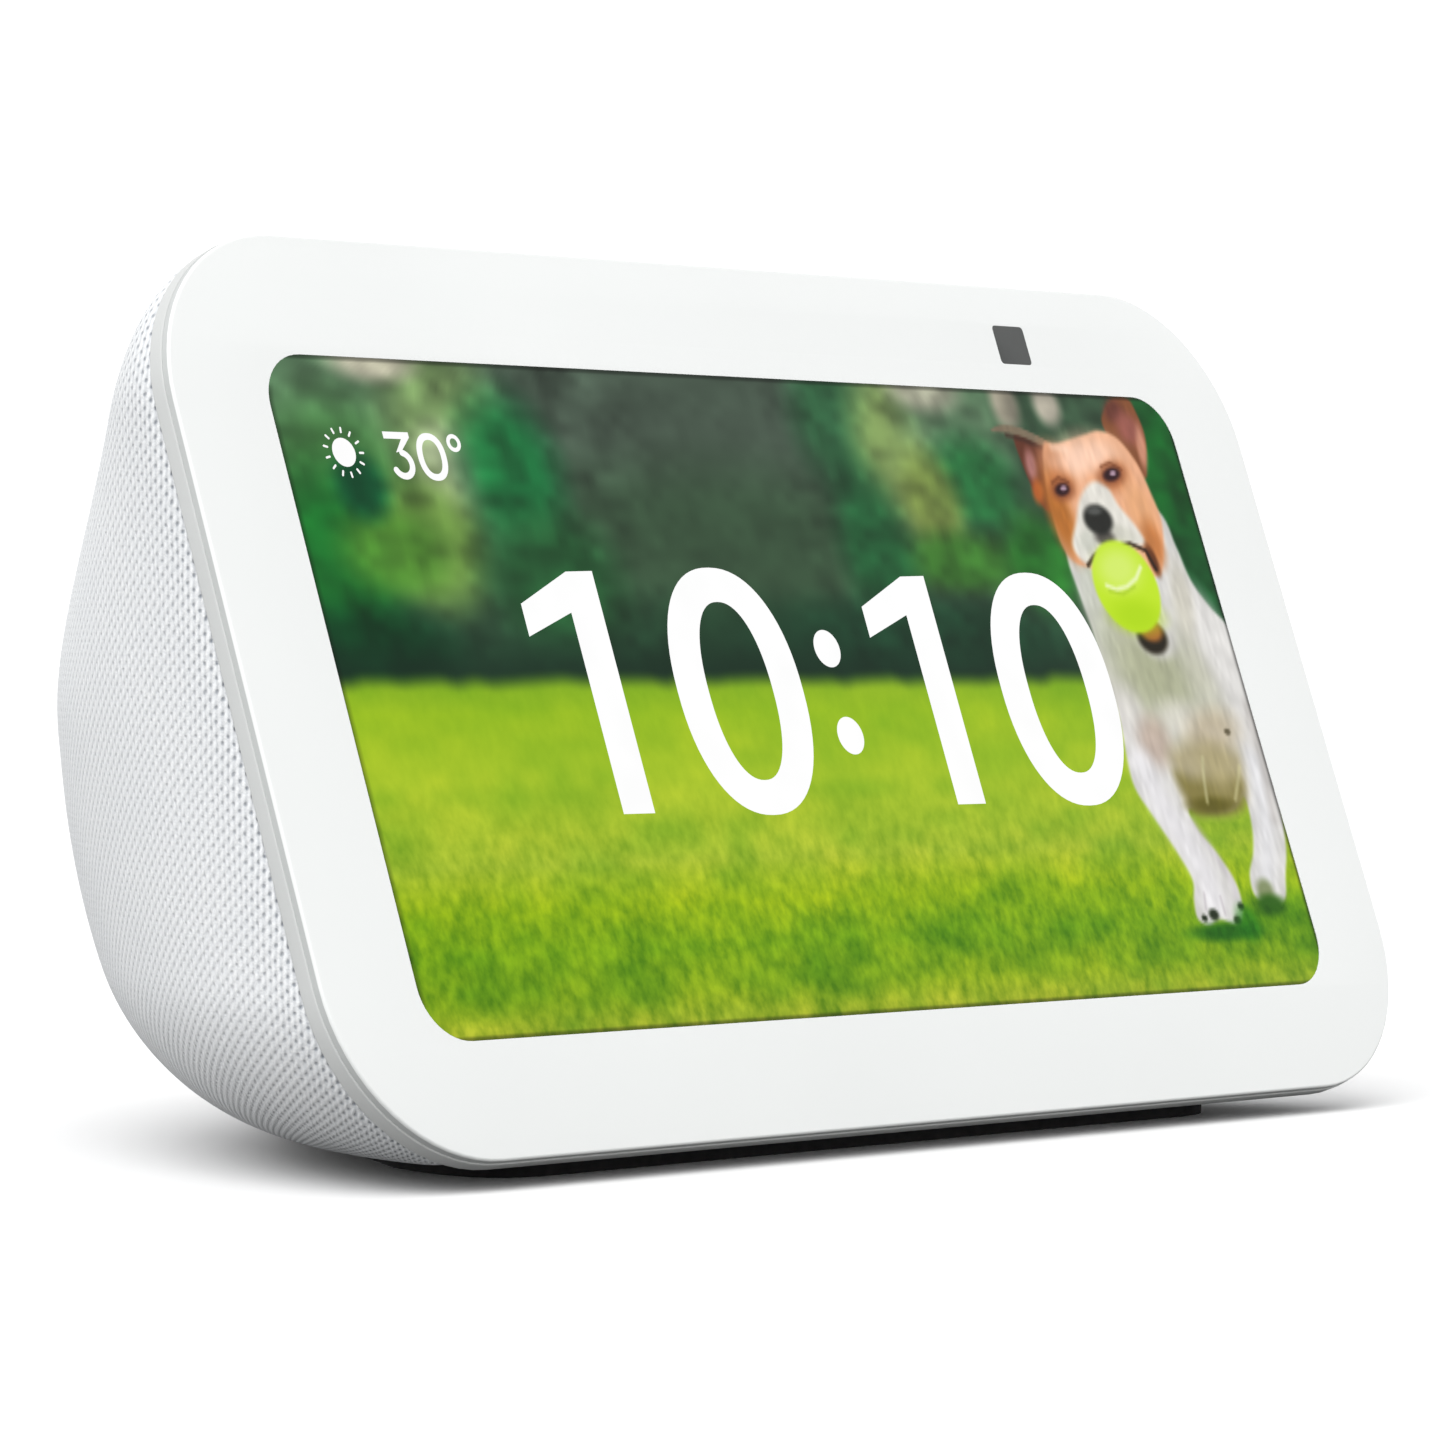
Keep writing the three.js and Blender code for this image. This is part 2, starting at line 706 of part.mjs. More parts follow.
// A flat pad with a straight front, rounded front corners, straight flanks and a rounded rear.
function footPad() {
  const [frontX, flankX, rearX] = [44, 48, 27];
  const [cornerX, shoulderX] = [54, 20];
  const [flankLowY, flankHighY] = [-22, 14];
  const shape = new THREE.Shape();
  shape.moveTo(-frontX, footFrontY);
  shape.lineTo(frontX, footFrontY);
  shape.quadraticCurveTo(cornerX, footFrontY, flankX, flankLowY);
  shape.lineTo(rearX, flankHighY);
  shape.quadraticCurveTo(shoulderX, footRearY, 0, footRearY);
  shape.quadraticCurveTo(-shoulderX, footRearY, -rearX, flankHighY);
  shape.lineTo(-flankX, flankLowY);
  shape.quadraticCurveTo(-cornerX, footFrontY, -frontX, footFrontY);
  return plate(shape, 0, footHeight, 0, 8);
}

function powerLead() {
  return lead([[-3, 10.6, 9.6], [0, 5, 11], [6, -5, 14], [13, -16, 19], [18, -22.2, 23.4]], 1, 12);
}

function speakerLead() {
  const path = [[0, 2.5, 24.5], [6, -3, 23.5], [18, -12, 22.5], [28, -19, 22.8], [34, -22.2, 23.4]];
  return lead(path, 0.8, 12);
}

// A thin aerial that stands just inside one side wall.
function antenna(side) {
  return block([-0.2, -12, 0], [0.2, 12, 12])
    .rotateZ(side * THREE.MathUtils.degToRad(28))
    .translate(side * 57, 0, 32);
}

function base() {
  const screws = postPlaces.map((place, i) =>
    named(`base_screw_${i + 1}`, baseScrew(place), materials.steel));
  return groupOf(
    named("inlet_housing", inletHousing(), materials.greyPlastic),
    named("port_bezel", portBezel(), materials.whitePlastic),
    named("power_socket", powerSocket(), materials.blackPlastic),
    named("power_board", powerBoard(), materials.board),
    named("power_lead", powerLead(), materials.rubber),
    named("speaker_lead", speakerLead(), materials.rubber),
    named("antenna_left", antenna(-1), materials.copper),
    named("antenna_right", antenna(1), materials.copper),
    named("base_plate", basePlate(), materials.greyPlastic),
    ...screws,
    named("foot_pad", footPad(), materials.rubber),
  );
}

const smartSpeaker = groupOf(
  frontPanel(),
  named("fabric_cover", fabricCover(), materials.fabric),
  named("rear_housing", rearHousing(), materials.greyPlastic),
  topControls(),
  loudspeaker(),
  base(),
);
export default smartSpeaker;
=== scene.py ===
"""Looks of the table-top smart speaker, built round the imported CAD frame.

Lengths here are millimetres and piece() turns them into Blender's metres. The front panel has a
frame of its own, as in the CAD model: x runs to the right, y up the panel from its lower edge and
z out of its face. The display has another, (u, v) from its centre.
"""

import json
import math

import bmesh
import bpy
import numpy as np
from mathutils import Matrix, Vector
from mathutils.geometry import delaunay_2d_cdt, tessellate_polygon


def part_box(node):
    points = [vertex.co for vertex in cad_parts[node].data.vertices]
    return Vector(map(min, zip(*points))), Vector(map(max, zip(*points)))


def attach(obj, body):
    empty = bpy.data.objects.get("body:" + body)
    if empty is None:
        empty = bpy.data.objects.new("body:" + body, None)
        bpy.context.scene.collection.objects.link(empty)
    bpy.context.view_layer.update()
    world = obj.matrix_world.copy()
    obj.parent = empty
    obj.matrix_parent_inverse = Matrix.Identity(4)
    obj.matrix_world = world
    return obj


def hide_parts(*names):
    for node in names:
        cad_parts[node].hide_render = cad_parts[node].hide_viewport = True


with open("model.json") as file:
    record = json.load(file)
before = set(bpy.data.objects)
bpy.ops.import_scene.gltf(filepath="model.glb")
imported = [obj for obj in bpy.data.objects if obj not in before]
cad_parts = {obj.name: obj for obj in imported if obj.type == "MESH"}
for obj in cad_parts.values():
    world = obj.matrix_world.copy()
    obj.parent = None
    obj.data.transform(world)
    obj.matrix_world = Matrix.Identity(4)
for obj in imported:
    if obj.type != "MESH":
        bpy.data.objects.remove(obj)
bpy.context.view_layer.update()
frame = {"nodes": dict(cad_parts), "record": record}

MM = 0.001


def node_box(node):
    """A CAD node's lowest and highest corners, in millimetres."""
    return [np.array(corner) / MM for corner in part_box(node)]


# Driving dimensions. The sizes that the frame gives are read from it; the rest are the CAD model's.
PANEL_WIDTH = np.ptp([corner[0] for corner in node_box("front_bezel_frame")])
PANEL_CORNER = 16.2
PANEL_LEAN = math.radians(20)
PANEL_LIFT = 2.5
RIM_DEPTH = 2.6
RIM_LEDGE = 3.2
BODY_DEPTH = 91.0
BULGE_HEIGHT = 37.0
BULGE_SOFTNESS = 0.12
UNDERSIDE_DEPTH = 61.5
SECTION_POWER = 1.74
UPPER_POWER = 1.343
LOWER_POWER = 1.9
HEM_HEIGHT = 2.3
DISPLAY = (125.0, 62.5)
DISPLAY_CORNER = 5.0
DISPLAY_Y = 41.9
GLASS_INSET = 0.12
GLASS_THICKNESS = 0.9
PRINT_DEPTH = 0.3
PICTURE_TOP = -0.06
DISPLAY_REAR = -3.3
WINDOW_SIZE = (4.7, 4.1)
CAMERA_AT = (40.7, 78.1)
CONTROL_TILT = math.radians(-12)
BUTTONS = {"mute": -34.0, "volume_down": -18.0, "volume_up": -2.0}
BUTTON_Y = -8.0
BUTTON_SIZE = (9.0, 3.8)
BUTTON_RISE = 0.8
BUTTON_ROOT = -4.6
STRIP_CENTRE = (4.0, -8.1)
STRIP_SIZE = (96.0, 9.6)
STRIP_PROUD = 0.35
MICROPHONES = (-42.0, 22.0)
SHUTTER_X = 34.3
SHUTTER_TRAVEL = 6.0
STEM_DEPTH = -5.8
KNOB_WIDTH = 5.0
PORT_HEIGHT = 13.0
PORT_MOUTH = (12.0, 7.4)
PORT_CORNER = 2.0
PORT_FLANGE = (18.0, 13.4)
PORT_FLOOR = 30.6
PORT_BACK = 29.0
PORT_WALL = 1.2
PLUG_HOLE = 6.8
GAP = 0.3
CUT_MARGIN = 1.2
STRIP_OVERLAP = 0.7
CLOTH_THICKNESS = 0.6
WALE_SPACING = 0.74
STITCH_HEIGHT = 1.24

FRONT_Y = -BODY_DEPTH / 2
LEAN_SIN = math.sin(PANEL_LEAN)
LEAN_COS = math.cos(PANEL_LEAN)
PANEL_LENGTH = 84.6
RIM_BOTTOM = PANEL_LIFT - RIM_DEPTH * LEAN_SIN
RIM_TOP = RIM_BOTTOM + PANEL_LENGTH * LEAN_COS
PANEL = Matrix.Translation((0, FRONT_Y, PANEL_LIFT)) @ Matrix.Rotation(math.pi / 2 - PANEL_LEAN, 4, "X")
# Swaps y and z: a shape drawn flat then stands on the rear of the body.
TO_REAR = Matrix(((1, 0, 0, 0), (0, 0, 1, 0), (0, 1, 0, 0), (0, 0, 0, 1)))


# --- Outlines and meshes ---


def arc(centre, radius, start, end, steps):
    angles = np.radians(np.linspace(start, end, steps + 1))
    return np.column_stack((centre[0] + radius * np.cos(angles), centre[1] + radius * np.sin(angles)))


def rounded_rect(width, height, corner, centre=(0, 0), steps=12):
    """Points round a rectangle with round corners, anticlockwise from the right."""
    x = width / 2 - corner
    y = height / 2 - corner
    corners = ((x, y, 0), (-x, y, 90), (-x, -y, 180), (x, -y, 270))
    parts = [arc((centre[0] + dx, centre[1] + dy), corner, a, a + 90, steps) for dx, dy, a in corners]
    return np.vstack(parts)


def pill(length, width, centre=(0, 0), steps=10):
    return rounded_rect(length, width, width / 2 - 0.001, centre, steps)


def circle(radius, centre=(0, 0), steps=48):
    return arc(centre, radius, 0, 360, steps)[:-1]


def grown(outline, distance):
    """The outline moved outwards along its own normals."""
    before = outline - np.roll(outline, 1, axis=0)
    after = np.roll(outline, -1, axis=0) - outline
    ways = [edge / np.maximum(np.linalg.norm(edge, axis=1), 1e-9)[:, None] for edge in (before, after)]
    way = ways[0] + ways[1]
    way /= np.linalg.norm(way, axis=1)[:, None]
    return outline + distance * np.column_stack((way[:, 1], -way[:, 0]))


def at_height(outline, z):
    return np.column_stack((outline, np.full(len(outline), z)))


def loft(rings, caps=True, closed=False):
    """A skin over rings of equal length: its points and faces. A closed loft meets itself."""
    size = len(rings[0])
    faces = []
    for ring in range(len(rings) if closed else len(rings) - 1):
        low = ring * size
        high = (ring + 1) % len(rings) * size
        for i in range(size):
            j = (i + 1) % size
            faces.append((low + i, low + j, high + j, high + i))
    if caps and not closed:
        faces.append(tuple(range(size)))
        faces.append(tuple(range((len(rings) - 1) * size, len(rings) * size)))
    return np.vstack(rings), faces


def merged(*parts):
    """Several (points, faces) as one."""
    points = []
    faces = []
    for part_points, part_faces in parts:
        start = sum(len(p) for p in points)
        points.append(np.asarray(part_points, float))
        faces += [tuple(start + i for i in face) for face in part_faces]
    return np.vstack(points), faces


def eased(low, high, rounding, steps=5):
    """(inset, height) pairs up a wall whose top edge is rounded."""
    angles = np.linspace(0, math.pi / 2, steps + 1)
    top = [(rounding * (1 - math.cos(a)), high - rounding * (1 - math.sin(a))) for a in angles]
    return [(0, low)] + top


def eased_plate(outline, low, high, rounding):
    """A plate whose upper edge is rounded."""
    return loft([at_height(grown(outline, -inset), z) for inset, z in eased(low, high, rounding)])


def holed_plate(outline, holes, low, high, rounding=0.0):
    """A plate with holes through it, rounded along its outer upper edge."""
    rings = [at_height(grown(outline, -inset), z) for inset, z in eased(low, high, rounding)]
    parts = [loft(rings, caps=False)]
    parts += [loft([at_height(hole, low), at_height(hole, high)], caps=False) for hole in holes]
    for z, edge in ((low, outline), (high, grown(outline, -rounding))):
        loops = [at_height(edge, z)] + [at_height(hole, z) for hole in holes]
        triangles = tessellate_polygon([[Vector(p) for p in loop] for loop in loops])
        parts.append((np.vstack(loops), triangles))
    return merged(*parts)


def turned(profile, steps=48):
    """A solid of revolution about z from (radius, z) pairs that start and end on the axis."""
    rings = [at_height(circle(max(radius, 0.0005), steps=steps), z) for radius, z in profile]
    return loft(rings)


def placed(part, matrix):
    points, faces = part
    spots = np.asarray(points) @ np.array(matrix)[:3, :3].T + np.array(matrix)[:3, 3]
    return spots, faces


def piece(name, part, material, body="case", replaces=(), sharp=35, repair=True):
    """A mesh piece from points in millimetres and faces, riding on a body of the frame."""
    points, faces = part
    mesh = bpy.data.meshes.new(name)
    mesh.from_pydata((np.asarray(points) * MM).tolist(), [], [tuple(face) for face in faces])
    if repair:
        work = bmesh.new()
        work.from_mesh(mesh)
        bmesh.ops.remove_doubles(work, verts=work.verts, dist=2e-6)
        bmesh.ops.dissolve_degenerate(work, edges=work.edges, dist=1e-7)
        bmesh.ops.recalc_face_normals(work, faces=work.faces)
        work.to_mesh(mesh)
        work.free()
    mesh.polygons.foreach_set("use_smooth", [True] * len(mesh.polygons))
    if sharp:
        mesh.set_sharp_from_angle(angle=math.radians(sharp))
    mesh.materials.append(material)
    made = bpy.data.objects.new(name, mesh)
    bpy.context.scene.collection.objects.link(made)
    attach(made, body)
    if replaces:
        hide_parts(*replaces)
    return made


# --- Material nodes ---


def linear(colour):
    """The linear colour of an sRGB colour in 0..255, one or an array of them."""
    share = np.asarray(colour, float) / 255
    return np.where(share <= 0.04045, share / 12.92, ((share + 0.055) / 1.055) ** 2.4)


class Nodes:
    """A material's node tree, with short calls to add to it."""

    def __init__(self, name):
        self.material = bpy.data.materials.new(name)
        self.material.use_nodes = True
        self.tree = self.material.node_tree
        self.tree.nodes.clear()
        self.shader = self.add("ShaderNodeBsdfPrincipled")
        self.link(self.shader.outputs["BSDF"], self.add("ShaderNodeOutputMaterial").inputs["Surface"])

    def add(self, kind, **settings):
        made = self.tree.nodes.new(kind)
        for key, value in settings.items():
            setattr(made, key, value)
        return made

    def link(self, source, target):
        self.tree.links.new(source, target)

    def put(self, target, value):
        if isinstance(value, bpy.types.NodeSocket):
            self.link(value, target)
        else:
            target.default_value = value

    def set(self, **values):
        for key, value in values.items():
            self.put(self.shader.inputs[key.replace("_", " ")], value)

    def math(self, operation, *values):
        made = self.add("ShaderNodeMath", operation=operation)
        for target, value in zip(made.inputs, values):
            self.put(target, value)
        return made.outputs[0]

    def times(self, first, second):
        return self.math("MULTIPLY", first, second)

    def plus(self, first, second):
        return self.math("ADD", first, second)

    def place(self, scale=(1, 1, 1)):
        """Object coordinates in metres, stretched by a scale."""
        mapping = self.add("ShaderNodeMapping")
        mapping.inputs["Scale"].default_value = scale
        self.link(self.add("ShaderNodeTexCoord").outputs["Object"], mapping.inputs["Vector"])
        return mapping.outputs["Vector"]

    def noise(self, scale, detail=3.0, where=None):
        made = self.add("ShaderNodeTexNoise")
        made.inputs["Scale"].default_value = scale
        made.inputs["Detail"].default_value = detail
        self.link(where or self.place(), made.inputs["Vector"])
        return made.outputs["Fac"]

    def ranged(self, value, low, high, source=(0.3, 0.7)):
        made = self.add("ShaderNodeMapRange")
        for target, number in zip(made.inputs, (value, *source, low, high)):
            self.put(target, number)
        return made.outputs["Result"]

    def mixed(self, share, first, second):
        """Two colours mixed by a share; each is a socket or a linear RGB."""
        made = self.add("ShaderNodeMix", data_type="RGBA")
        self.put(made.inputs["Factor"], share)
        sockets = [s for s in made.inputs if s.type == "RGBA"]
        for target, value in zip(sockets, (first, second)):
            self.put(target, value if isinstance(value, bpy.types.NodeSocket) else (*value, 1))
        return [s for s in made.outputs if s.type == "RGBA"][0]

    def bump(self, height, distance, strength=1.0):
        made = self.add("ShaderNodeBump")
        made.inputs["Strength"].default_value = strength
        made.inputs["Distance"].default_value = distance
        self.link(height, made.inputs["Height"])
        return made.outputs["Normal"]


def moulded(name, colour, roughness=(0.4, 0.5), grain=0.02, grain_scale=2500, shade=0.96, **sockets):
    """Moulded plastic or rubber: cloudy colour, uneven gloss and a fine grain, grain deep in mm."""
    nodes = Nodes(name)
    full = linear(colour)
    cloud = nodes.ranged(nodes.noise(60), 0, 1)
    nodes.set(Base_Color=nodes.mixed(cloud, full * shade, full))
    nodes.set(Roughness=nodes.ranged(nodes.noise(900), *roughness))
    nodes.set(Normal=nodes.bump(nodes.noise(grain_scale, 2), grain * MM))
    nodes.set(**sockets)
    return nodes.material


def metal(name, colour, roughness=(0.25, 0.4), stretch=(1, 30, 1)):
    """Rolled or plated sheet with a fine lengthwise grain."""
    nodes = Nodes(name)
    full = linear(colour)
    grain = nodes.noise(300, 4, nodes.place(stretch))
    nodes.set(Base_Color=nodes.mixed(nodes.ranged(grain, 0, 1), full * 0.85, full))
    nodes.set(Roughness=nodes.ranged(grain, *roughness), Metallic=1.0)
    nodes.set(Normal=nodes.bump(grain, 0.01 * MM))
    return nodes.material


def board_material():
    """Solder mask over copper tracks."""
    nodes = Nodes("circuit_board")
    tracks = nodes.add("ShaderNodeTexBrick")
    tracks.inputs["Scale"].default_value = 260
    tracks.inputs["Mortar Size"].default_value = 0.035
    nodes.link(nodes.place(), tracks.inputs["Vector"])
    mask = linear((16, 78, 44))
    nodes.set(Base_Color=nodes.mixed(tracks.outputs["Fac"], mask, linear((40, 120, 70))))
    nodes.set(Roughness=nodes.ranged(nodes.noise(700), 0.3, 0.45))
    nodes.set(Normal=nodes.bump(tracks.outputs["Fac"], 0.03 * MM))
    return nodes.material


def wound_copper():
    """Enamelled wire: fine turns round the axis."""
    nodes = Nodes("wound_copper")
    turns = nodes.add("ShaderNodeTexWave", bands_direction="Z")
    turns.inputs["Scale"].default_value = 900
    nodes.link(nodes.place(), turns.inputs["Vector"])
    fac = turns.outputs["Fac"]
    nodes.set(Base_Color=nodes.mixed(fac, linear((120, 62, 30)), linear((196, 118, 66))), Metallic=1.0)
    nodes.set(Roughness=nodes.ranged(fac, 0.3, 0.5, (0, 1)), Normal=nodes.bump(fac, 0.05 * MM))
    return nodes.material


def knit_material():
    """Fine acoustic knit: slanting ridges of yarn with small staggered gaps. The gaps and valleys get
    painted shade, deeper near the rim, and the ridges painted highlight and shade.
    The knit attribute holds millimetres across and down the cloth and how near the rim is. The
    plain attribute is 1 where the stitches are too crowded to show."""
    nodes = Nodes("knit_fabric")
    where = nodes.add("ShaderNodeAttribute", attribute_name="knit").outputs["Vector"]
    split = nodes.add("ShaderNodeSeparateXYZ")
    nodes.link(where, split.inputs[0])
    drift = nodes.ranged(nodes.noise(0.55, 2, where), -0.12, 0.12)
    across = nodes.plus(split.outputs["X"], drift)
    down = nodes.math("SUBTRACT", split.outputs["Y"], drift)
    wale_turn = nodes.times(across, math.pi / WALE_SPACING)
    course_turn = nodes.times(down, 2 * math.pi / STITCH_HEIGHT)
    wale = nodes.math("COSINE", wale_turn)
    course = nodes.math("COSINE", course_turn)
    valley = nodes.math("POWER", nodes.math("ABSOLUTE", wale), 2.5)
    hole = nodes.ranged(nodes.times(wale, course), 0, 1, (0.4, 1.0))
    twill = nodes.times(nodes.math("COSINE", nodes.plus(wale_turn, course_turn)), 0.22)
    fibre = nodes.noise(5.0, 4, where)
    lows = nodes.plus(nodes.times(hole, 0.4), nodes.times(valley, 0.45))
    height = nodes.math("SUBTRACT", nodes.times(fibre, 0.5), nodes.plus(lows, twill))
    yarn = nodes.mixed(nodes.ranged(fibre, 0, 1), linear((229, 232, 235)), linear((250, 251, 251)))
    # Painted shade: the gaps and the valleys between wales are darkened towards grey, more so near the rim,
    # and the slanting ridges are lightened and darkened as painted highlight and shade.
    gap_shade = nodes.plus(0.12, nodes.times(split.outputs["Z"], 0.45))
    shaded = nodes.plus(nodes.times(hole, gap_shade),
                        nodes.times(valley, nodes.times(gap_shade, 0.7)))
    shaded = nodes.plus(shaded, nodes.times(twill, 0.35))
    plain = nodes.add("ShaderNodeAttribute", attribute_name="plain").outputs["Fac"]
    depth = nodes.math("SUBTRACT", 1, plain)
    shaded = nodes.times(shaded, depth)
    height = nodes.times(height, depth)
    worn = nodes.mixed(nodes.ranged(nodes.noise(0.12, 2, where), 0, 0.3), yarn, linear((232, 235, 238)))
    nodes.set(Base_Color=nodes.mixed(shaded, worn, linear((140, 146, 154))))
    nodes.set(Roughness=nodes.ranged(fibre, 0.82, 0.95), Specular_IOR_Level=0.2)
    nodes.set(Sheen_Weight=0.15, Sheen_Roughness=0.6)
    nodes.set(Normal=nodes.bump(height, 0.15 * MM, 0.9))
    return nodes.material


def mask_material():
    """White-printed cover glass."""
    nodes = Nodes("white_glass")
    cloud = nodes.ranged(nodes.noise(25, 2), 0, 1)
    nodes.set(Base_Color=nodes.mixed(cloud, linear((236, 238, 237)), linear((239, 241, 240))))
    nodes.set(Roughness=nodes.ranged(nodes.noise(400), 0.2, 0.26), Specular_IOR_Level=0.3)
    nodes.set(Coat_Weight=0.15, Coat_Roughness=0.06)
    nodes.set(Normal=nodes.bump(nodes.noise(1500, 1), 0.002 * MM))
    return nodes.material


def window_material():
    """Smoked clear window over the camera."""
    nodes = Nodes("camera_window")
    cloud = nodes.ranged(nodes.noise(300, 2), 0, 1)
    nodes.set(Base_Color=nodes.mixed(cloud, linear((74, 76, 75)), linear((80, 82, 81))))
    nodes.set(Alpha=0.92, Roughness=nodes.ranged(nodes.noise(600), 0.1, 0.16), Specular_IOR_Level=0.3)
    return nodes.material


def lens_material():
    nodes = Nodes("camera_lens")
    cloud = nodes.ranged(nodes.noise(900, 2), 0, 1)
    nodes.set(Base_Color=nodes.mixed(cloud, linear((14, 16, 26)), linear((26, 24, 44))))
    nodes.set(Roughness=nodes.ranged(nodes.noise(600), 0.03, 0.06), Coat_Weight=1.0)
    return nodes.material


def picture_material():
    """The lit picture: painted colours, and grass blades where the paint says that there are any."""
    nodes = Nodes("lit_picture")
    paint = nodes.add("ShaderNodeAttribute", attribute_name="picture").outputs["Color"]
    grass = nodes.add("ShaderNodeAttribute", attribute_name="grass").outputs["Fac"]
    blades = nodes.noise(900, 4, nodes.place((1, 1, 0.6)))
    tufts = nodes.noise(220, 4)
    both = nodes.plus(nodes.times(blades, 0.65), nodes.times(tufts, 0.35))
    light = nodes.ranged(both, 0, 1, (0.34, 0.66))
    tint = nodes.mixed(light, (0.5, 0.66, 0.25), (1.5, 1.32, 1.7))
    scaled = nodes.add("ShaderNodeVectorMath", operation="MULTIPLY")
    nodes.link(paint, scaled.inputs[0])
    nodes.link(nodes.mixed(grass, (1, 1, 1), tint), scaled.inputs[1])
    nodes.set(Base_Color=(0, 0, 0, 1), Emission_Color=scaled.outputs[0], Emission_Strength=1.0)
    nodes.set(Roughness=nodes.ranged(nodes.noise(400), 0.16, 0.22), Specular_IOR_Level=0.08)
    return nodes.material


def lit_white():
    nodes = Nodes("lit_white")
    glow = nodes.ranged(nodes.noise(200, 1), 0.97, 1.0)
    tint = nodes.mixed(glow, (0, 0, 0), (1, 1, 1))
    nodes.set(Base_Color=(0, 0, 0, 1), Emission_Color=tint, Emission_Strength=1.0, Specular_IOR_Level=0.08)
    return nodes.material


WHITE = moulded("white_plastic", (222, 224, 223), (0.42, 0.52), 0.006)
GREY = moulded("grey_plastic", (201, 204, 205), (0.55, 0.65))
# A darker grey copy of the white plastic for the rim: painted shade on the panel's sides.
SHADED_RIM = moulded("rim_plastic_painted_shade", (204, 206, 205), (0.42, 0.52), 0.006)
# A darker grey for the glass's side faces: painted shade.
SHADED_GLASS_EDGE = moulded("glass_edge_painted_shade", (194, 197, 196), (0.3, 0.4), 0.004)
ICON = moulded("icon_print", (150, 154, 157), (0.5, 0.6))
BLACK = moulded("black_plastic", (30, 31, 33), (0.45, 0.6))
RUBBER = moulded("black_rubber", (11, 11, 12), (0.7, 0.85), 0.04, 1800, 0.8)
PAPER = moulded("cone_paper", (42, 43, 45), (0.85, 0.95), 0.05, 1200, 0.8)
ADHESIVE = moulded("adhesive_foam", (38, 40, 42), (0.85, 0.95), 0.06, 900, 0.8)
STEEL = metal("plated_steel", (190, 193, 196))
COPPER = metal("copper_foil", (190, 112, 62), (0.3, 0.45), (20, 1, 1))
BOARD = board_material()
COIL = wound_copper()
KNIT = knit_material()
MASK = mask_material()
WINDOW = window_material()
LENS = lens_material()
PICTURE = picture_material()
LIT_WHITE = lit_white()

# The material that each carried-over CAD node gets.
FINISHES = {
    "white_plastic": WHITE,
    "grey_plastic": GREY,
    "black_plastic": BLACK,
    "black_rubber": RUBBER,
    "cone_paper": PAPER,
    "adhesive": ADHESIVE,
    "plated_steel": STEEL,
    "copper_foil": COPPER,
    "circuit_board": BOARD,
    "knit_fabric": KNIT,
    "glass_mask": MASK,
    "display": PICTURE,
}


# --- The rear body's surface, as in the CAD model ---


def rim_rear_y(z):
    return FRONT_Y + (z - PANEL_LIFT) * math.tan(PANEL_LEAN) + RIM_DEPTH / LEAN_COS


def half_width(z):
    along = (z - RIM_BOTTOM) / LEAN_COS
    edge = min(along, PANEL_LENGTH - along)
    into = min(max(PANEL_CORNER - edge, 0), PANEL_CORNER)
    return PANEL_WIDTH / 2 - PANEL_CORNER + math.sqrt(PANEL_CORNER**2 - into**2)


def rear_y(z):
    upper = z >= BULGE_HEIGHT
    end = RIM_TOP if upper else RIM_BOTTOM
    start = rim_rear_y(end) if upper else FRONT_Y + UNDERSIDE_DEPTH
    power = UPPER_POWER if upper else LOWER_POWER
    rise = min(max((z - BULGE_HEIGHT) / (end - BULGE_HEIGHT), 0), 1)
    span = math.hypot(1, BULGE_SOFTNESS) - BULGE_SOFTNESS
    share = min((math.hypot(rise, BULGE_SOFTNESS) - BULGE_SOFTNESS) / span, 1)
    return start + (BODY_DEPTH / 2 - start) * (1 - share**power) ** (1 / power)


def section(z, angles):
    """A level section of the body: x and y from the right edge of the panel round to the left."""
    start = rim_rear_y(z)
    across = np.cos(angles)
    x = half_width(z) * np.sign(across) * np.abs(across) ** (2 / SECTION_POWER)
    y = start + (rear_y(z) - start) * np.abs(np.sin(angles)) ** (2 / SECTION_POWER)
    return x, y


def surface_edge(x, z):
    """How far back the body's surface is at x and z."""
    start = rim_rear_y(z)
    fraction = min(abs(x) / half_width(z), 1)
    return start + (rear_y(z) - start) * (1 - fraction**SECTION_POWER) ** (1 / SECTION_POWER)


def surface_height(x, y):
    """The body's height over (x, y), by halving."""
    low = BULGE_HEIGHT
    high = RIM_TOP
    for _ in range(30):
        middle = (low + high) / 2
        if abs(x) < half_width(middle) and surface_edge(x, middle) > y:
            low = middle
        else:
            high = middle
    return low


# --- The knit cover ---

ROUND_STEPS = 200
LOWER_ROWS = 46
UPPER_ROWS = 70
FOCUS_X = 45.0
FOCUS_Y = -8.0
FLANK_REACH = 60.0
SEAM_DIP = 0.25
# RIM_STRETCH: how far from the rim, in mm, the knit's deeper painted shade in its gaps reaches.
RIM_STRETCH = 4.5
CREST_FADE = 8.0


def fabric_levels():
    lowest = math.asin((BULGE_HEIGHT - HEM_HEIGHT) / (BULGE_HEIGHT - RIM_BOTTOM))
    below = BULGE_HEIGHT - (BULGE_HEIGHT - RIM_BOTTOM) * np.sin(np.linspace(lowest, 0, LOWER_ROWS + 1))
    above = BULGE_HEIGHT + (RIM_TOP - BULGE_HEIGHT) * np.sin(np.linspace(0, math.pi / 2, UPPER_ROWS + 1))
    return np.concatenate((below, above[1:]))


def fan(x, y):
    """The angle of a point in the fan of hyperbolas that the stitch columns follow in plan."""
    return np.imag(np.arccosh((np.abs(x) + 1j * (y - FOCUS_Y)) / FOCUS_X))


def crowding(x, y):
    """How many times closer the fan's columns lie than on the flanks: most around a focus."""
    return FLANK_REACH / np.abs(np.sqrt((np.abs(x) + 1j * (y - FOCUS_Y)) ** 2 - FOCUS_X**2))


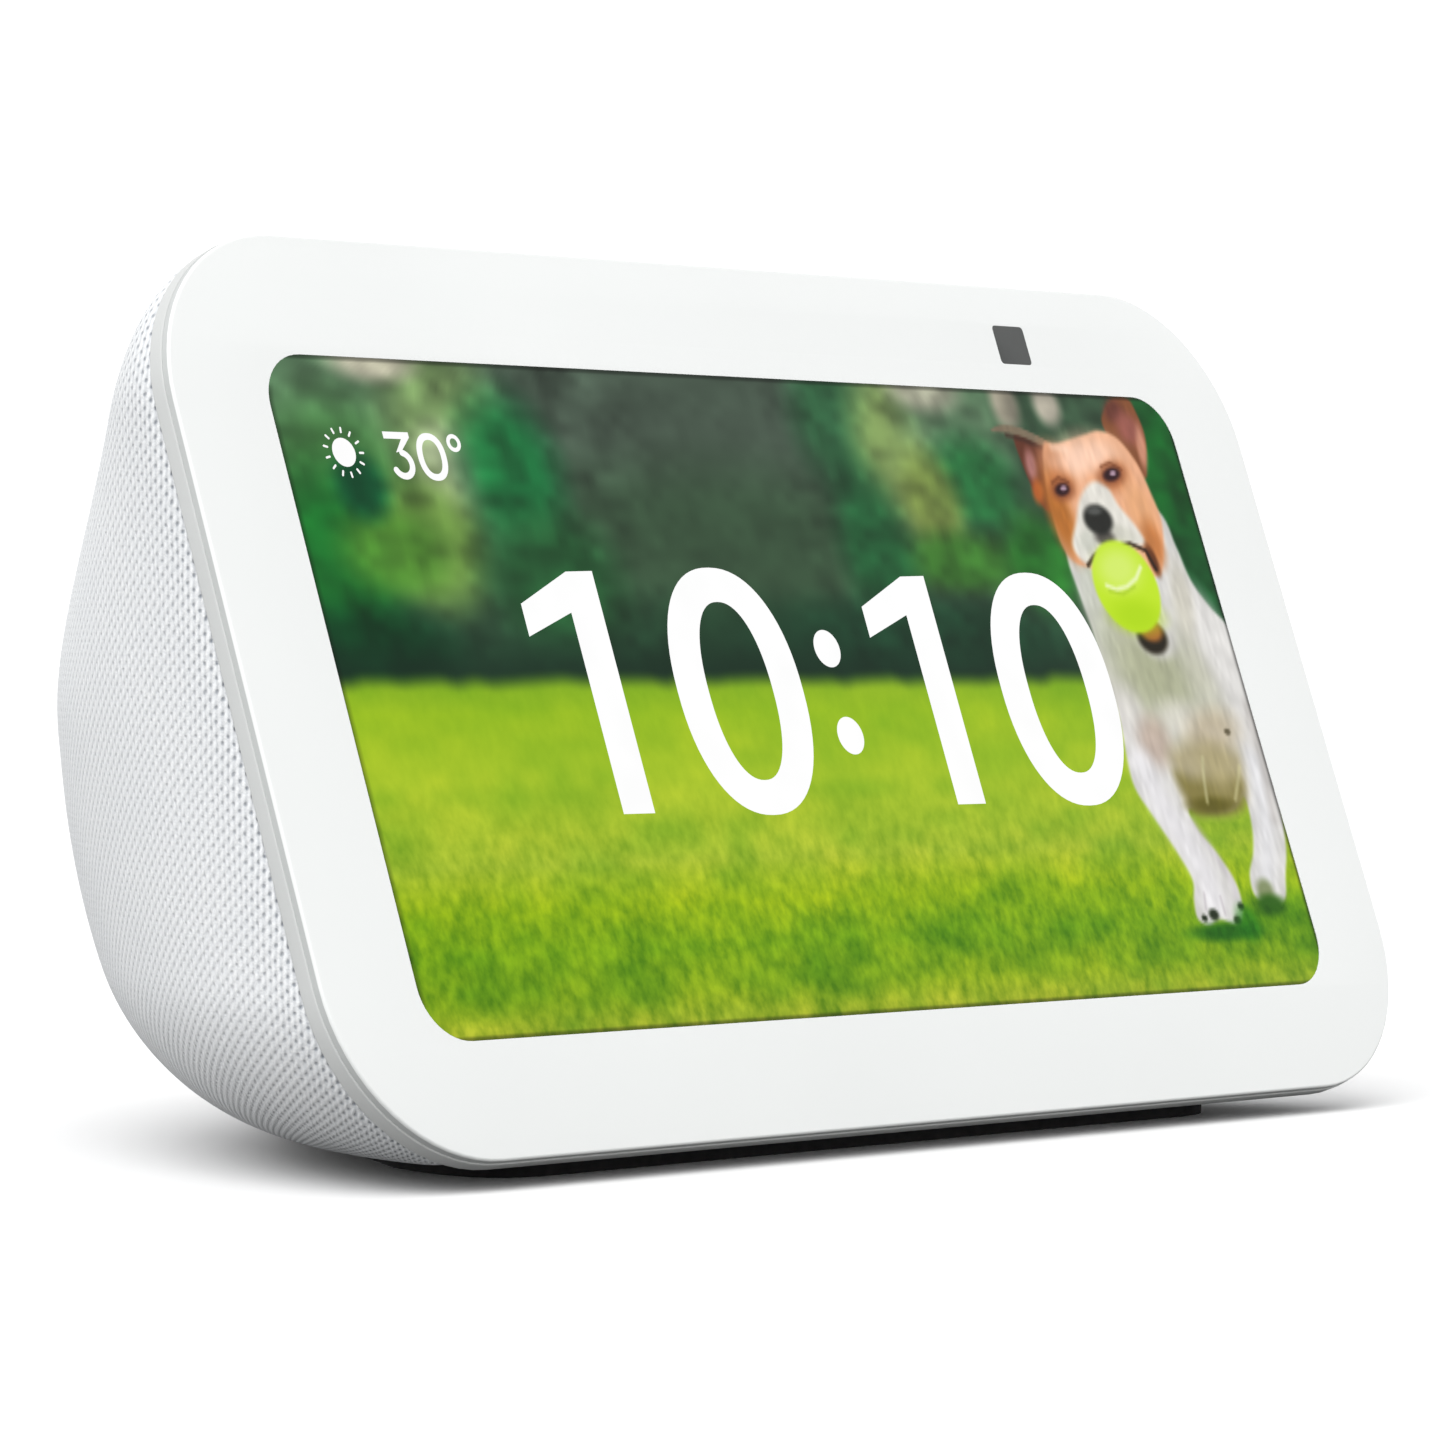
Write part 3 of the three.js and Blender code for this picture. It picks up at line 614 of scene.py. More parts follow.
def stitch_columns(levels):
    """For each level, columns of the fan and how far down each the level is, in mm."""
    angles = np.linspace(0, math.pi / 2, 160)
    columns = np.linspace(-1.2, math.pi / 2, 90)
    spots = []
    for z in levels:
        x, y = section(z, angles)
        ahead = np.linspace(FRONT_Y - 25, y[0] - 0.5, 40)
        x = np.concatenate((np.full(len(ahead), max(x[0], 1)), x))
        y = np.concatenate((ahead, y))
        turn = fan(x, y)
        order = np.argsort(turn)
        at = [np.interp(columns, turn[order], axis[order]) for axis in (x, y)]
        spots.append(np.column_stack((*at, np.full(len(columns), z))))
    steps = np.linalg.norm(np.diff(np.array(spots), axis=0), axis=2)
    down = np.vstack((np.zeros(len(columns)), np.cumsum(steps, axis=0)))
    middle = int(np.argmin(np.abs(levels - BULGE_HEIGHT)))
    return columns, down - down[middle]


def across_table():
    """Arc length from the middle of the back, along the widest section, for each fan angle."""
    x, y = section(BULGE_HEIGHT, np.linspace(0, math.pi / 2, 400))
    ahead = np.linspace(FRONT_Y - 40, y[0] - 0.2, 60)
    x = np.concatenate((np.full(len(ahead), x[0]), x))
    y = np.concatenate((ahead, y))
    length = np.concatenate(([0], np.cumsum(np.hypot(np.diff(x), np.diff(y)))))
    return fan(x, y), length[-1] - length


def fabric_cover():
    levels = fabric_levels()
    angles = np.linspace(0, math.pi, ROUND_STEPS + 1)
    columns, down = stitch_columns(levels)
    turns, lengths = across_table()
    rows = []
    knit = []
    plain = []
    for level, z in enumerate(levels):
        x, y = section(z, angles)
        plain.append(np.clip(crowding(x, y) - 1.5, 0, 1))
        turn = fan(x, y)
        rows.append(np.column_stack((x, y, np.full(len(x), z))))
        across = np.sign(x) * np.interp(turn, turns, lengths)
        near = np.exp(-(y - rim_rear_y(z)) / RIM_STRETCH) * min((RIM_TOP - z) / CREST_FADE, 1)
        knit.append(np.column_stack((across, np.interp(turn, columns, down[level]), near)))
    hem = rows[0]
    edge = np.gradient(hem[:, :2], axis=0)
    inwards = np.column_stack((-edge[:, 1], edge[:, 0])) / np.linalg.norm(edge, axis=1)[:, None]
    # The hem turns under the body in a few short steps.
    for reach, drop in ((0.5, 0.12), (1.6, 0.1), (3.2, 0.05), (5.0, 0.0), (7.2, -0.1)):
        spot = hem + np.column_stack((inwards * reach, np.full(len(hem), -drop)))
        spot[:, 1] = np.maximum(spot[:, 1], hem[0, 1])
        rows.insert(0, spot)
        knit.insert(0, knit[-len(levels)] - [0, reach, 0])
        plain.insert(0, plain[-len(levels)])
    points = np.vstack(rows)
    size = len(angles)
    faces = []
    for row in range(len(rows) - 1):
        for i in range(size - 1):
            corners = (row * size + i, row * size + i + 1, (row + 1) * size + i + 1, (row + 1) * size + i)
            middle = points[list(corners)].mean(axis=0)
            if not under_port(middle) and not under_strip(middle):
                faces.append(corners[::-1])
    draw_in(points)
    cover = piece("knit_cover", (points, faces), KNIT, replaces=["fabric_cover"],
                  sharp=0, repair=False)
    attribute = cover.data.attributes.new("knit", "FLOAT_VECTOR", "POINT")
    attribute.data.foreach_set("vector", np.vstack(knit).ravel())
    attribute = cover.data.attributes.new("plain", "FLOAT", "POINT")
    attribute.data.foreach_set("value", np.concatenate(plain))
    tidy_cover(cover)
    shell = cover.modifiers.new("thickness", "SOLIDIFY")
    shell.thickness = CLOTH_THICKNESS * MM
    shell.offset = -1
    return cover


def draw_in(points):
    """The cloth dips a little towards the middle of the panel where it runs under the rim."""
    behind = points[:, 1] - np.array([rim_rear_y(z) for z in points[:, 2]])
    dip = SEAM_DIP * np.exp(-np.maximum(behind, 0) / 1.2)
    side = PANEL_WIDTH / 2 - PANEL_CORNER
    low, high = RIM_BOTTOM + PANEL_CORNER, RIM_TOP - PANEL_CORNER
    centre = np.column_stack((np.clip(points[:, 0], -side, side), np.clip(points[:, 2], low, high)))
    way = centre - points[:, [0, 2]]
    length = np.maximum(np.linalg.norm(way, axis=1), 1e-6)
    points[:, [0, 2]] += way * (dip / length)[:, None]


def tidy_cover(cover):
    work = bmesh.new()
    work.from_mesh(cover.data)
    bmesh.ops.remove_doubles(work, verts=work.verts, dist=2e-6)
    loose = [v for v in work.verts if not v.link_faces]
    bmesh.ops.delete(work, geom=loose, context="VERTS")
    bmesh.ops.recalc_face_normals(work, faces=work.faces)
    work.to_mesh(cover.data)
    work.free()


def under_port(spot):
    x, z = (size / 2 + CUT_MARGIN for size in PORT_MOUTH)
    return spot[1] > 20 and abs(spot[0]) < x and abs(spot[2] - PORT_HEIGHT) < z


def under_strip(spot):
    length, width = STRIP_SIZE
    x = max(abs(spot[0] - STRIP_CENTRE[0]) - (length - width) / 2, 0)
    reach = width / 2 - STRIP_OVERLAP
    return spot[2] > BULGE_HEIGHT and math.hypot(x, spot[1] - STRIP_CENTRE[1]) < reach


# --- The front panel ---


def panel_ring(inset, z, steps=16):
    outline = rounded_rect(PANEL_WIDTH - 2 * inset, PANEL_LENGTH - 2 * inset, PANEL_CORNER - inset,
                           (0, PANEL_LENGTH / 2), steps)
    return at_height(outline, z)


def panel_rim():
    """The rim behind the glass: a round rear edge, a fine seam under the glass and a ledge inside."""
    rear = 0.3
    front = 0.14
    seam = 0.015
    rim_front = -GLASS_THICKNESS - seam
    curve = np.linspace(0, math.pi / 2, 8)
    profile = [(RIM_LEDGE, -RIM_DEPTH)]
    profile += [(rear * (1 - math.sin(a)), -RIM_DEPTH + rear * (1 - math.cos(a))) for a in curve]
    profile += [(front * (1 - math.cos(a)), rim_front - front * (1 - math.sin(a))) for a in curve]
    profile += [(RIM_LEDGE, rim_front)]
    part = loft([panel_ring(inset, z) for inset, z in profile], closed=True)
    # The rim takes the darker copy of the white plastic, which paints shade on it.
    piece("panel_rim", placed(part, PANEL), SHADED_RIM, replaces=["front_bezel_frame"])


def cover_glass():
    """The white-printed glass, its side edge painted a darker grey as shade, and the pane in the camera's
    window.
    """
    outline = panel_ring(GLASS_INSET, 0)[:, :2]
    opening = rounded_rect(*DISPLAY, DISPLAY_CORNER, (0, DISPLAY_Y))
    window = rounded_rect(*WINDOW_SIZE, 0.45, CAMERA_AT, 5)
    split = -PRINT_DEPTH
    mask = holed_plate(outline, [opening, window], split, 0, 0.25)
    piece("glass_mask", placed(mask, PANEL), MASK, replaces=["cover_glass"])
    edge = holed_plate(outline, [opening, window], -GLASS_THICKNESS, split)
    # The glass's side faces get the darker grey, which paints shade on them.
    piece("glass_edge_painted_shade", placed(edge, PANEL), SHADED_GLASS_EDGE)
    pane = eased_plate(window, -GLASS_THICKNESS + 0.02, -0.015, 0.01)
    piece("camera_window", placed(pane, PANEL), WINDOW)


def camera_lens():
    profile = [(0, -2.8), (1.08, -2.8), (1.08, -2.55), (0.9, -2.38), (0.5, -2.24), (0, -2.18)]
    at = PANEL @ Matrix.Translation((*CAMERA_AT, 0))
    piece("camera_lens", placed(turned(profile, 32), at), LENS)


def shutter():
    """The sliding shutter: its blade behind the glass, the stem and the ridged knob on top."""
    low = SHUTTER_X - KNOB_WIDTH / 2
    high = SHUTTER_X + KNOB_WIDTH / 2
    blade = eased_plate(rounded_rect(KNOB_WIDTH + 1.6, 5.6, 0.6, (SHUTTER_X, 78.2)), -1.7, -1.2, 0.1)
    web = boxed((low, 80.3, -6.4), (high, 81, -1.4))
    stem = boxed((low, 80.3, -6.4), (high, 85.7, -5.2))
    upright = Matrix.Translation((SHUTTER_X, 0, STEM_DEPTH)) @ Matrix.Rotation(-math.pi / 2, 4, "X")
    knob = placed(eased_plate(rounded_rect(KNOB_WIDTH, 2.6, 1.2), 85.5, 86.3, 0.3), upright)
    across = Matrix.Rotation(math.pi / 2, 4, "Z")
    grips = [placed(eased_plate(pill(1.9, 0.42), 86.1, 86.5, 0.15),
                    upright @ Matrix.Translation((x, 0, 0)) @ across)
             for x in np.arange(-1.6, 1.7, 0.8)]
    part = merged(blade, web, stem, knob, *grips)
    piece("shutter_slider", placed(part, PANEL), WHITE, "shutter", ["camera_shutter"])


def boxed(low, high):
    """A bar between two corners, its ends along z square."""
    outline = np.array([(low[0], low[1]), (high[0], low[1]), (high[0], high[1]), (low[0], high[1])])
    return loft([at_height(outline, low[2]), at_height(outline, high[2])])


# --- The picture on the display ---


def smoothstep(low, high, value):
    share = np.clip((value - low) / (high - low), 0, 1)
    return share * share * (3 - 2 * share)


def curve(*points, steps=6):
    """A closed smooth outline through given points."""
    knots = np.array(points, float)
    before, after, later = (np.roll(knots, n, axis=0) for n in (1, -1, -2))
    t = np.linspace(0, 1, steps, endpoint=False)[None, :, None]
    p0, p1, p2, p3 = (k[:, None, :] for k in (before, knots, after, later))
    spots = 0.5 * (2 * p1 + (p2 - p0) * t + (2 * p0 - 5 * p1 + 4 * p2 - p3) * t**2
                   + (3 * p1 - p0 - 3 * p2 + p3) * t**3)
    return spots.reshape(-1, 2)


class Canvas:
    """Colours painted on points of the display, in sRGB shares, one layer over another."""

    def __init__(self, u, v):
        self.spots = np.column_stack((u, v))
        self.colour = np.zeros((len(u), 3))

    def lay(self, colour, cover):
        self.colour += (np.array(colour) / 255 - self.colour) * np.clip(cover, 0, 1)[:, None]

    def ellipse(self, centre, size, turn=0):
        """How far out of an ellipse each point is, 1 on its edge."""
        angle = math.radians(turn)
        away = self.spots - centre
        x = away[:, 0] * math.cos(angle) + away[:, 1] * math.sin(angle)
        y = away[:, 1] * math.cos(angle) - away[:, 0] * math.sin(angle)
        return np.hypot(x / size[0], y / size[1])

    def spot(self, colour, centre, size, turn=0, edge=0.5, amount=1.0):
        self.lay(colour, amount * (1 - smoothstep(1 - edge, 1 + edge, self.ellipse(centre, size, turn))))

    def distance(self, line, closed):
        """The distance of each point from a line of points."""
        ends = np.roll(line, -1, axis=0) if closed else line[1:]
        gap = np.full(len(self.spots), 1e9)
        for a, b in zip(line, ends):
            along = b - a
            share = np.clip(((self.spots - a) @ along) / max(along @ along, 1e-9), 0, 1)
            gap = np.minimum(gap, np.hypot(*(self.spots - a - share[:, None] * along).T))
        return gap

    def inside(self, outline):
        crossings = np.zeros(len(self.spots), int)
        u, v = self.spots.T
        for a, b in zip(outline, np.roll(outline, -1, axis=0)):
            spans = (a[1] > v) != (b[1] > v)
            rise = b[1] - a[1] if b[1] != a[1] else 1e-9
            crossings += spans & (u < a[0] + (v - a[1]) * (b[0] - a[0]) / rise)
        return crossings % 2 == 1

    def shape(self, colour, outline, softness=0.22, amount=1.0):
        gap = self.distance(outline, True)
        signed = np.where(self.inside(outline), gap, -gap)
        self.lay(colour, amount * smoothstep(-softness, softness, signed))

    def line(self, colour, points, width, softness=0.2, amount=1.0):
        gap = self.distance(np.array(points, float), False)
        self.lay(colour, amount * (1 - smoothstep(width / 2 - softness, width / 2 + softness, gap)))


def value_noise(spots, cell, seed):
    """Smooth noise in 0..1 with cells of a size (u, v) in mm."""
    table = np.random.default_rng(seed).random((128, 128))
    where = spots / np.array(cell) + 64
    whole = np.floor(where).astype(int)
    share = where - whole
    share = share * share * (3 - 2 * share)
    corner = [[table[(whole[:, 0] + i) % 128, (whole[:, 1] + j) % 128] for j in (0, 1)] for i in (0, 1)]
    low = corner[0][0] * (1 - share[:, 0]) + corner[1][0] * share[:, 0]
    high = corner[0][1] * (1 - share[:, 0]) + corner[1][1] * share[:, 0]
    return low * (1 - share[:, 1]) + high * share[:, 1]


# Out-of-focus trees: colour, centre and half size of each soft patch, from the back forwards.
TREES = [
    ((70, 84, 72), (-8, 29), (34, 16)),
    ((54, 80, 56), (-8, 13), (30, 9)),
    ((30, 62, 40), (-10, 4), (40, 5)),
    ((92, 124, 92), (-54, 27), (10, 6)),
    ((62, 116, 58), (-56, 18), (10, 9)),
    ((16, 98, 34), (-59, 12), (7, 8)),
    ((120, 150, 92), (-42, 25), (7, 8)),
    ((166, 180, 142), (-43, 21), (4, 4)),
    ((104, 140, 62), (-47, 14), (6, 6)),
    ((18, 108, 54), (-35, 21), (6, 7)),
    ((34, 92, 48), (-33, 11), (8, 6)),
    ((70, 122, 40), (-52, 13), (6, 4)),
    ((2, 70, 40), (-54, 19), (3, 3)),
    ((4, 58, 28), (-58, 4), (10, 4)),
    ((44, 98, 60), (11, 27), (6, 7)),
    ((124, 148, 84), (19, 24), (6, 9)),
    ((92, 124, 92), (29, 28), (8, 5)),
    ((32, 108, 54), (29, 21), (6, 5)),
    ((118, 138, 66), (22, 19), (4, 5)),
    ((58, 118, 40), (24, 13), (9, 3)),
    ((26, 86, 46), (12, 14), (5, 8)),
    ((34, 110, 34), (36, 13), (5, 5)),
    ((24, 66, 42), (16, 5), (22, 4)),
    ((6, 84, 26), (60, 21), (6, 12)),
    ((14, 74, 32), (60, 9), (6, 8)),
    ((186, 180, 160), (-49, 31), (5, 2)),
    ((172, 170, 150), (25, 31), (5, 2.4)),
    ((176, 166, 148), (37, 30), (2, 3)),
    ((196, 186, 170), (43.5, 30), (2, 2.2)),
]
# The lawn: how high up the display and its colour there.
LAWN = [
    (-31.5, (140, 166, 36)), (-28, (116, 158, 14)), (-24, (108, 158, 8)), (-20, (136, 174, 8)),
    (-16, (152, 182, 40)), (-8, (160, 192, 34)), (-2, (146, 186, 24)), (1, (128, 172, 26)),
]
HORIZON = 0.9
BALL = (48.1, 10.7)
BALL_SIZE = (5.0, 4.9)


def paint_garden(canvas):
    u, v = canvas.spots.T
    canvas.lay((52, 78, 56), np.ones(len(u)))
    for colour, centre, size in TREES:
        canvas.spot(colour, centre, size, edge=0.5, amount=0.9)
    leaves = value_noise(canvas.spots, (3.2, 2.6), 1) - 0.8
    leaves += 0.6 * value_noise(canvas.spots, (1.4, 1.2), 2)
    misty = smoothstep(-24, -14, u) * smoothstep(8, -2, u)
    canvas.colour *= (1 + 0.4 * leaves * (1 - 0.6 * misty))[:, None]
    canvas.lay((14, 40, 26), 0.75 * smoothstep(7, 1, v))
    heights = [height for height, _ in LAWN]
    lawn = np.column_stack([np.interp(v, heights, [colour[i] for _, colour in LAWN]) for i in range(3)])
    patches = value_noise(canvas.spots, (9, 3.4), 3) + 0.7 * value_noise(canvas.spots, (3, 1.6), 4) - 0.85
    near = smoothstep(0, -26, v)
    tint = np.column_stack((0.20 * patches, 0.09 * patches, 0.25 * patches)) * (0.6 + near)[:, None]
    edge = HORIZON + 0.5 * (value_noise(canvas.spots, (2.2, 50), 5) - 0.5)
    share = smoothstep(edge + 1.2, edge - 1.0, v)[:, None]
    canvas.colour += (lawn / 255 * (1 + tint) - canvas.colour) * share
    return share[:, 0] * (0.12 + 0.88 * smoothstep(-6, -24, v))


def paint_body(canvas):
    """The dog's chest, legs and paws."""
    outline = curve(
        (40.2, 14.5), (40.4, 9.7), (40.8, 6.3), (41, 1.3), (41.2, -2.8), (40.6, -7), (40.5, -10.3),
        (42.1, -13.3), (44.2, -17), (45.4, -19.9), (44.7, -22), (44.5, -23.9), (46, -24.7), (48, -24.1),
        (50.4, -24.8), (51.9, -23.5), (52.1, -20.6), (50.4, -17.3), (48.5, -14.9), (48, -12.7),
        (51.5, -13.1), (55, -12.9), (57.3, -11.6), (57.2, -14.7), (56.2, -17.4), (54.6, -19.7),
        (54.6, -22), (57, -22.9), (59.2, -22.4), (60.4, -19.9), (62, -16.2), (63.5, -8), (64.5, 3),
        (62.6, 6.6), (60.6, 8.6), (58.7, 11.5), (57.9, 15.1), (56.6, 19), (50, 22), (43, 20))
    canvas.shape((216, 214, 211), outline, 0.3)
    canvas.spot((196, 200, 186), (42.6, 9), (2.2, 6), amount=0.7)
    canvas.spot((172, 176, 142), (46.5, 2.5), (4.6, 5.5), 10, 0.8, 0.8)
    canvas.spot((164, 168, 136), (50.8, 0.6), (4.8, 4.8), -15, 0.8, 0.8)
    canvas.spot((190, 190, 170), (56.2, 1.5), (2.2, 6), 10, 0.8, 0.6)
    canvas.spot((226, 224, 221), (59.5, 5), (2.6, 5.5), 15, 0.6, 0.8)
    canvas.spot((206, 202, 186), (56.5, 9.5), (1.5, 4), -8, 0.6, 0.7)
    canvas.spot((222, 218, 214), (43, -3), (2.2, 3), 0, 0.6, 0.7)
    canvas.spot((224, 220, 212), (50.3, -3.4), (3.4, 2.0), 0, 0.7, 0.7)
    canvas.spot((188, 166, 150), (45.6, -5.6), (2.3, 2.6), -25, 0.6, 0.75)
    canvas.spot((186, 170, 140), (55.2, -4.8), (4.2, 2.4), 12, 0.6, 0.7)
    belly = curve(
        (47.2, -7), (49.6, -5.8), (52.6, -5.6), (56, -6.2), (58.6, -7.2), (58.2, -10.2), (57.1, -12),
        (54.6, -13), (51.4, -13.1), (48.6, -12.7), (47.5, -10))
    canvas.shape((168, 156, 116), belly, 1.5, 0.85)
    inner = curve(
        (47.4, -9), (50, -9.6), (54, -9.4), (57.6, -9.8), (57, -12), (54.6, -13), (51.4, -13.1),
        (48.6, -12.7))
    canvas.shape((126, 116, 56), inner, 1.1, 0.85)
    canvas.spot((92, 86, 22), (51.8, -12.4), (3.6, 0.9), 0, 0.6, 0.85)
    canvas.spot((178, 166, 122), (54.4, -8.6), (2.6, 2.4), 0, 0.7, 0.7)
    canvas.line((208, 204, 156), [(52.4, -7.4), (51.7, -9.6), (51.2, -12)], 0.45, 0.25, 0.6)
    canvas.line((206, 200, 150), [(57.9, -8.4), (57, -10), (55.8, -11.8)], 0.45, 0.25, 0.6)
    canvas.spot((74, 66, 44), (57.6, -4.7), (0.5, 0.35), 0, 0.5, 0.8)
    leg = [(42.6, -8), (43.8, -12), (46.2, -16), (47.6, -19.5), (47.8, -22)]
    canvas.line((236, 234, 238), leg, 3.4, 1.4, 0.75)
    canvas.line((196, 190, 196), [(48, -14), (49.6, -16.6), (51.4, -19.8), (51.6, -22)], 0.9, 0.6, 0.5)
    canvas.line((230, 230, 234), [(60.4, -8), (60, -13), (58.6, -17), (57.2, -20)], 2.6, 1.3, 0.7)
    canvas.line((178, 172, 168), [(62, -2), (62, -8), (61.2, -14)], 1.2, 0.8, 0.5)


def paint_paws(canvas):
    for u, v, size in ((47.2, -23.6, 0.75), (45.6, -23.9, 0.45), (50.7, -24.3, 0.6), (51.8, -22.9, 0.5)):
        canvas.spot((22, 34, 14), (u, v), (size, size * 0.8), 0, 0.5, 0.95)
    canvas.line((188, 180, 186), [(46.6, -21.4), (46.2, -23)], 0.3, 0.2, 0.6)
    canvas.line((188, 180, 186), [(49, -21.8), (49, -23.6)], 0.3, 0.2, 0.6)
    canvas.spot((110, 126, 74), (56.4, -21.4), (1.3, 1.2), 20, 0.5, 0.8)
    canvas.spot((38, 92, 8), (56.6, -22.9), (2.4, 1.1), 0, 0.5, 0.95)
    canvas.spot((24, 96, 8), (48.5, -25.4), (5.4, 0.9), 0, 0.6, 0.9)
    canvas.spot((30, 118, 14), (52.2, -24.6), (1.6, 1.8), 30, 0.6, 0.7)


def paint_ears(canvas):
    right = curve(
        (51.6, 28), (52.6, 29.8), (54, 30.9), (56.6, 31.6), (57.8, 29), (57.9, 26.6), (57, 24.2),
        (56, 22.4), (53.4, 24.4))
    canvas.shape((134, 80, 48), right, 0.25)
    canvas.spot((96, 50, 44), (54, 29.6), (1.6, 1.2), 20, 0.6, 0.8)
    canvas.spot((158, 92, 84), (55.6, 27.8), (1.8, 1.7), -30, 0.6, 0.85)
    canvas.spot((214, 150, 124), (56.9, 25.8), (0.7, 2.2), -10, 0.6, 0.85)
    flap = curve(
        (37, 26.3), (38.8, 26.6), (41.6, 26), (41.2, 23.6), (40.4, 21), (40.1, 18.8), (38.8, 18.7),
        (37.8, 20.6), (37.2, 23.4))
    canvas.shape((98, 52, 36), flap, 0.25)
    canvas.spot((186, 128, 124), (38.5, 23.4), (0.8, 1.6), -8, 0.6, 0.85)
    canvas.spot((186, 96, 40), (38.4, 20.6), (0.8, 1.3), -20, 0.6, 0.9)
    tip = curve(
        (33.7, 26.9), (35.2, 27.5), (37.4, 27.5), (39.6, 27), (42, 26), (41, 25.5), (39, 26.2),
        (36.8, 26.7), (35, 26.8))
    canvas.shape((124, 110, 90), tip, 0.16)
    canvas.line((62, 38, 30), [(36, 26.5), (38.4, 26.1), (41, 25.3)], 0.5, 0.3, 0.8)


def paint_head(canvas):
    head = curve(
        (41.4, 25.7), (43.2, 25.8), (45.6, 26.3), (48.2, 26.9), (50.8, 27.4), (53.4, 26.6), (55.4, 24),
        (56.3, 20.8), (56.7, 17.8), (55.8, 15), (54.6, 12.6), (53.4, 11.8), (50, 12), (46, 12),
        (43.2, 12.6), (41, 13.2), (39.8, 15), (39.7, 18.5), (40.2, 22.5))
    canvas.shape((236, 176, 138), head, 0.3)
    canvas.spot((246, 204, 176), (47.4, 24.6), (4.6, 2.2), 8, 0.8, 0.8)
    canvas.spot((206, 132, 84), (47.6, 21.6), (1.2, 3.4), -12, 0.8, 0.35)
    canvas.spot((214, 146, 104), (41.9, 23.6), (2, 2.2), 0, 0.7, 0.7)
    canvas.spot((178, 106, 40), (40.9, 18.2), (1.9, 4.2), 8, 0.6, 0.95)
    canvas.spot((196, 118, 66), (42.4, 21.4), (2.1, 1.6), 15, 0.6, 0.8)
    canvas.spot((198, 118, 66), (51, 22.6), (2.4, 1.6), 15, 0.6, 0.75)
    canvas.spot((226, 166, 118), (53.8, 19), (2.2, 3), 12, 0.6, 0.85)
    canvas.spot((196, 120, 62), (54.4, 15.4), (1.5, 2.4), 0, 0.6, 0.9)
    canvas.spot((252, 210, 186), (47, 24.3), (4, 1.4), 8, 0.7, 0.7)
    canvas.line((250, 214, 190), [(42.6, 25.4), (44.6, 25.3)], 0.7, 0.5, 0.6)
    muzzle = curve(
        (46.4, 21.4), (48, 21.9), (49.6, 21.2), (50.5, 19.4), (52.3, 17.2), (53, 15.4), (50.6, 14.9),
        (46.8, 14.4), (43.8, 12.9), (42, 13.6), (41.5, 15.2), (43.1, 17.6), (44.5, 19.8))
    canvas.shape((226, 223, 214), muzzle, 0.45)
    canvas.spot((186, 190, 178), (44, 15.4), (1.6, 1.1), 30, 0.6, 0.6)
    canvas.spot((200, 200, 186), (50, 16.4), (2, 0.8), -15, 0.6, 0.6)
    canvas.line((206, 206, 196), [(43, 16), (45.6, 15.6)], 0.3, 0.2, 0.5)


def paint_face(canvas):
    """Eyes, nose and mouth of the dog."""
    canvas.spot((66, 62, 58), (46.9, 15.9), (1.5, 0.9), 0, 0.5, 0.9)
    canvas.spot((36, 37, 34), (46.6, 17.8), (2.25, 1.6), 6, 0.25)
    canvas.spot((104, 106, 104), (46.4, 18.7), (1.1, 0.4), 4, 0.6, 0.7)
    for centre, size in (((42.3, 20.9), (1.15, 0.62)), ((50.8, 22.7), (1.4, 0.66))):
        canvas.spot((120, 62, 36), centre, (size[0] + 0.5, size[1] + 0.4), 14, 0.7, 0.8)
        canvas.spot((44, 18, 24), centre, size, 14, 0.4)
        canvas.spot((206, 176, 196), (centre[0] + 0.25, centre[1] + 0.15), (0.5, 0.24), 10, 0.6, 0.85)
    canvas.line((116, 60, 30), [(49.4, 23.5), (51, 24), (52.6, 23.3)], 0.3, 0.2, 0.7)
    canvas.line((116, 60, 30), [(41, 21.6), (42.2, 22.2), (43.6, 21.7)], 0.3, 0.2, 0.7)
    canvas.spot((96, 50, 22), (53.5, 13.6), (0.7, 1.7), 12, 0.5, 0.95)
    mouth = [(43, 12.9), (44.4, 13.9), (46.9, 14.8), (50.6, 15.3), (52.8, 14.6), (53.6, 12.6)]
    canvas.line((44, 26, 16), mouth, 0.5, 0.2, 0.95)


def paint_ball(canvas):
    canvas.spot((208, 206, 202), (50.6, 5.4), (3, 2.3), 0, 0.35, 0.9)
    canvas.spot((34, 28, 16), (49.9, 5.3), (2.3, 1.75), 0, 0.25)
    canvas.spot((172, 106, 44), (50, 6.0), (1.7, 1.1), 0, 0.4)
    canvas.spot((192, 230, 36), BALL, BALL_SIZE, 0, 0.06)
    canvas.spot((218, 240, 130), (47.6, 12.6), (3.4, 2.2), 10, 0.7, 0.75)
    canvas.spot((170, 214, 4), (48.4, 7.6), (3.6, 1.7), 0, 0.7, 0.7)
    seam = [(45, 10.8), (46.4, 10.4), (48.2, 10.7), (50, 11.6), (51.2, 12.8)]
    canvas.line((240, 248, 206), seam, 0.42, 0.25, 0.85)
    canvas.line((150, 186, 20), [(45.2, 10.2), (47.2, 9.9), (49.4, 10.7)], 0.3, 0.25, 0.5)


DOG_START = 33.0
FINE_STEP = 0.2
COARSE_STEP = 0.7
ROW_STEP = 0.25


def display_points():
    """Rows of points over the display, finest where the dog is, and (u, v) of each."""
    width, height = DISPLAY
    rows = np.linspace(-height / 2, height / 2, int(height / ROW_STEP) + 1)
    corner = DISPLAY_CORNER
    into = np.clip(np.abs(rows) - (height / 2 - corner), 0, corner)
    reach = width / 2 - corner + np.sqrt(corner**2 - into**2)
    coarse = np.arange(-width / 2, DOG_START, COARSE_STEP)
    fine = np.linspace(DOG_START, width / 2, int((width / 2 - DOG_START) / FINE_STEP) + 1)
    shares = np.concatenate((coarse, fine)) / (width / 2)
    u = reach[:, None] * shares[None, :]
    v = np.repeat(rows[:, None], len(shares), axis=1)
    return u, v


